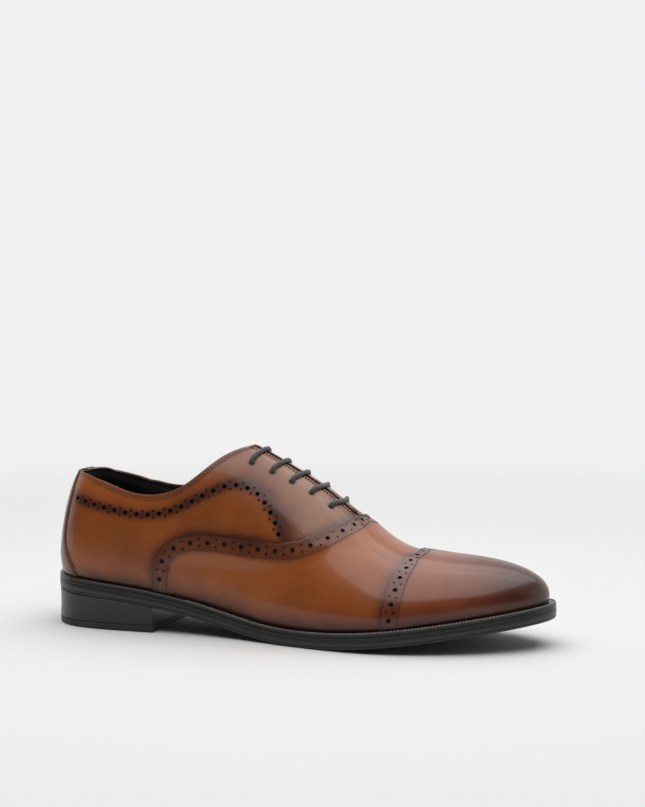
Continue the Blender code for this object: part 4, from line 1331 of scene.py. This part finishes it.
stackPiece = roundLayer("heelStackPiece", [
    (6.0, 0.0), (heelLook["foot"] + 0.25, 0.0), (heelLook["foot"], 0.02), (heelLook["waist"], 0.4),
    (heelLook["waist"], 0.7), (heelLook["foot"], 0.98), (heelLook["foot"] + 0.2, 1.0), (6.0, 1.0)],
    stackLow, stackHigh, 120, bottom["breast"])
shaded(stackPiece, 25)
dress(stackPiece, "shoe", ("heel_stack",), plain["waxedSoleEdge"])

topPiece = roundLayer("heelTopPiece", [
    (6.0, 0.0), (heelLook["foot"] + 0.8, 0.0), (heelLook["foot"] + 0.2, 0.1), (heelLook["foot"], 0.3),
    (heelLook["foot"], 0.92), (heelLook["foot"] + 0.3, 1.0), (6.0, 1.0)],
    lambda x: 0 * x + floorZ, lambda x: 0 * x + floorZ + bottom["topPiece"], 120, bottom["breast"])
nailHoles = []
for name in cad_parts:
    if name.startswith("heel_nail"):
        low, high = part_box(name)
        x, y, z = np.array((low + high) / 2) / mm - shift
        nailHoles.append((np.array([x, y, floorZ]), np.array([0, 0, 1.0]), heelLook["nailHole"]))
topPiece.data.materials.append(plain["blackHeelRubber"])
punched(topPiece, nailHoles, 14.0, plain["blackHeelRubber"])
shaded(topPiece, 40)
dress(topPiece, "shoe", ("heel_top_piece",))

weltRuns = []
for side, first in ((outer, weltLook["from"]), (inner, weltLook["back"])):
    stations = arcStations(soleEdge, first, soleEdge.high, np.linspace(0, 1, 900), soleFine)
    points = edgePlace(stations, side, weltLook["inset"], weltTop)
    weltRuns.append(Seam(points, np.tile([0.0, 0.0, 1.0], (len(points), 1))))
stitchPiece("weltStitches", weltRuns, plain["greyThread"], weltLook)
print("bottom ready")


# Looks of the parts that keep their own solids

# the hidden stiffeners take a near-black board, painted shade seen through the holes
kept = {
    "fibreBoard": ("insole", "shank_board"), "corkPaste": ("cork_filler",), "springSteel": ("steel_shank",),
    "paintedShadeBoard": ("toe_puff", "heel_counter", "facing_stay"), "blackLiningLeather": ("sock_lining",),
    "laceTips": ("aglet",), "blackenedEyelets": ("eyelet",), "brassNails": ("heel_nail",),
}
for look, starts in kept.items():
    for name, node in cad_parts.items():
        if name.startswith(starts):
            for held in node.material_slots:
                held.material = plain[look]


# Floor, light and camera

viewLook = {
    "azimuth": 19.0, "elevation": 5.25, "distance": 1.29, "lens": 100.0, "target": (0.0134, 0.00375, 0.1335),
}
stageLook = {
    "size": 60.0, "colour": (0.69, 0.69, 0.69, 1), "glow": 0.875, "near": 0.3, "far": 0.95,
    "front": 0.05, "behind": 0.875, "above": 0.1,
}
lightLook = [
    # name, place, aim, size, size across, watts
    ("topBox", (0.0, -0.12, 1.1), (0.0, -0.06, 0.05), 1.7, 1.46, 18.5),
    ("rearBox", (0.0, 0.9, 1.2), (0.0, 0.0, 0.05), 1.6, 0.6, 6.0),
]

stagePlane = bmesh.new()
bmesh.ops.create_grid(stagePlane, x_segments=1, y_segments=1, size=stageLook["size"] / 2)
studioFloor = asPiece("studioFloor", stagePlane)
floorLook, floorTree, floorShader, floorPlace = startMaterial("paleFloor")
reach = put(floorTree, "ShaderNodeVectorMath", {"operation": "LENGTH"}, _0=floorPlace).outputs["Value"]
fade = put(floorTree, "ShaderNodeMapRange", {"interpolation_type": "SMOOTHSTEP"}, Value=reach,
           _1=stageLook["near"], _2=stageLook["far"]).outputs[0]
glow = put(floorTree, "ShaderNodeEmission", None, Color=(1, 1, 1, 1), Strength=stageLook["glow"]).outputs[0]
matte = put(floorTree, "ShaderNodeBsdfDiffuse", None, Color=stageLook["colour"]).outputs[0]
mixed = floorTree.nodes.new("ShaderNodeMixShader")
floorTree.links.new(fade, mixed.inputs[0])
floorTree.links.new(matte, mixed.inputs[1])
floorTree.links.new(glow, mixed.inputs[2])
floorTree.links.new(mixed.outputs[0], floorTree.nodes["Material Output"].inputs["Surface"])
floorTree.nodes.remove(floorShader)
studioFloor.data.materials.append(floorLook)

# a dim room in front, the lit paper behind
world = bpy.data.worlds.new("studioAir")
bpy.context.scene.world = world
world.use_nodes = True
airTree = world.node_tree
air = airTree.nodes["Background"]
airPlace = put(airTree, "ShaderNodeTexCoord").outputs["Generated"]
parts = put(airTree, "ShaderNodeSeparateXYZ", None, Vector=airPlace)
behind = put(airTree, "ShaderNodeMapRange", {"interpolation_type": "SMOOTHSTEP"}, Value=parts.outputs["Y"],
             _1=-0.25, _2=0.3, _3=stageLook["front"], _4=stageLook["behind"]).outputs[0]
upward = put(airTree, "ShaderNodeMapRange", {"interpolation_type": "SMOOTHSTEP"}, Value=parts.outputs["Z"],
             _1=0.35, _2=0.8).outputs[0]
low = compute(airTree, "MULTIPLY", behind, compute(airTree, "SUBTRACT", 1.0, upward))
level = compute(airTree, "ADD", low, compute(airTree, "MULTIPLY", upward, stageLook["above"]))
airTree.links.new(level, air.inputs[1])
air.inputs[0].default_value = (1, 1, 1, 1)

for name, place, aim, size, across, watts in lightLook:
    lamp = bpy.data.lights.new(name, "AREA")
    lamp.shape = "RECTANGLE"
    lamp.size, lamp.size_y, lamp.energy = size, across, watts
    box = bpy.data.objects.new(name, lamp)
    box.location = place
    box.rotation_euler = (Vector(aim) - Vector(place)).to_track_quat("-Z", "Y").to_euler()
    bpy.context.scene.collection.objects.link(box)

turn, lift = math.radians(viewLook["azimuth"]), math.radians(viewLook["elevation"])
away = Vector((math.sin(turn) * math.cos(lift), -math.cos(turn) * math.cos(lift), math.sin(lift)))
view = bpy.data.cameras.new("studioCamera")
view.sensor_fit = "VERTICAL"
view.sensor_height = 36.0
view.lens = viewLook["lens"]
camera = bpy.data.objects.new("studioCamera", view)
camera.location = Vector(viewLook["target"]) + away * viewLook["distance"]
camera.rotation_euler = (-away).to_track_quat("-Z", "Y").to_euler()
bpy.context.scene.collection.objects.link(camera)
bpy.context.scene.camera = camera
bpy.context.scene.view_settings.view_transform = "Standard"

print("scene ready")
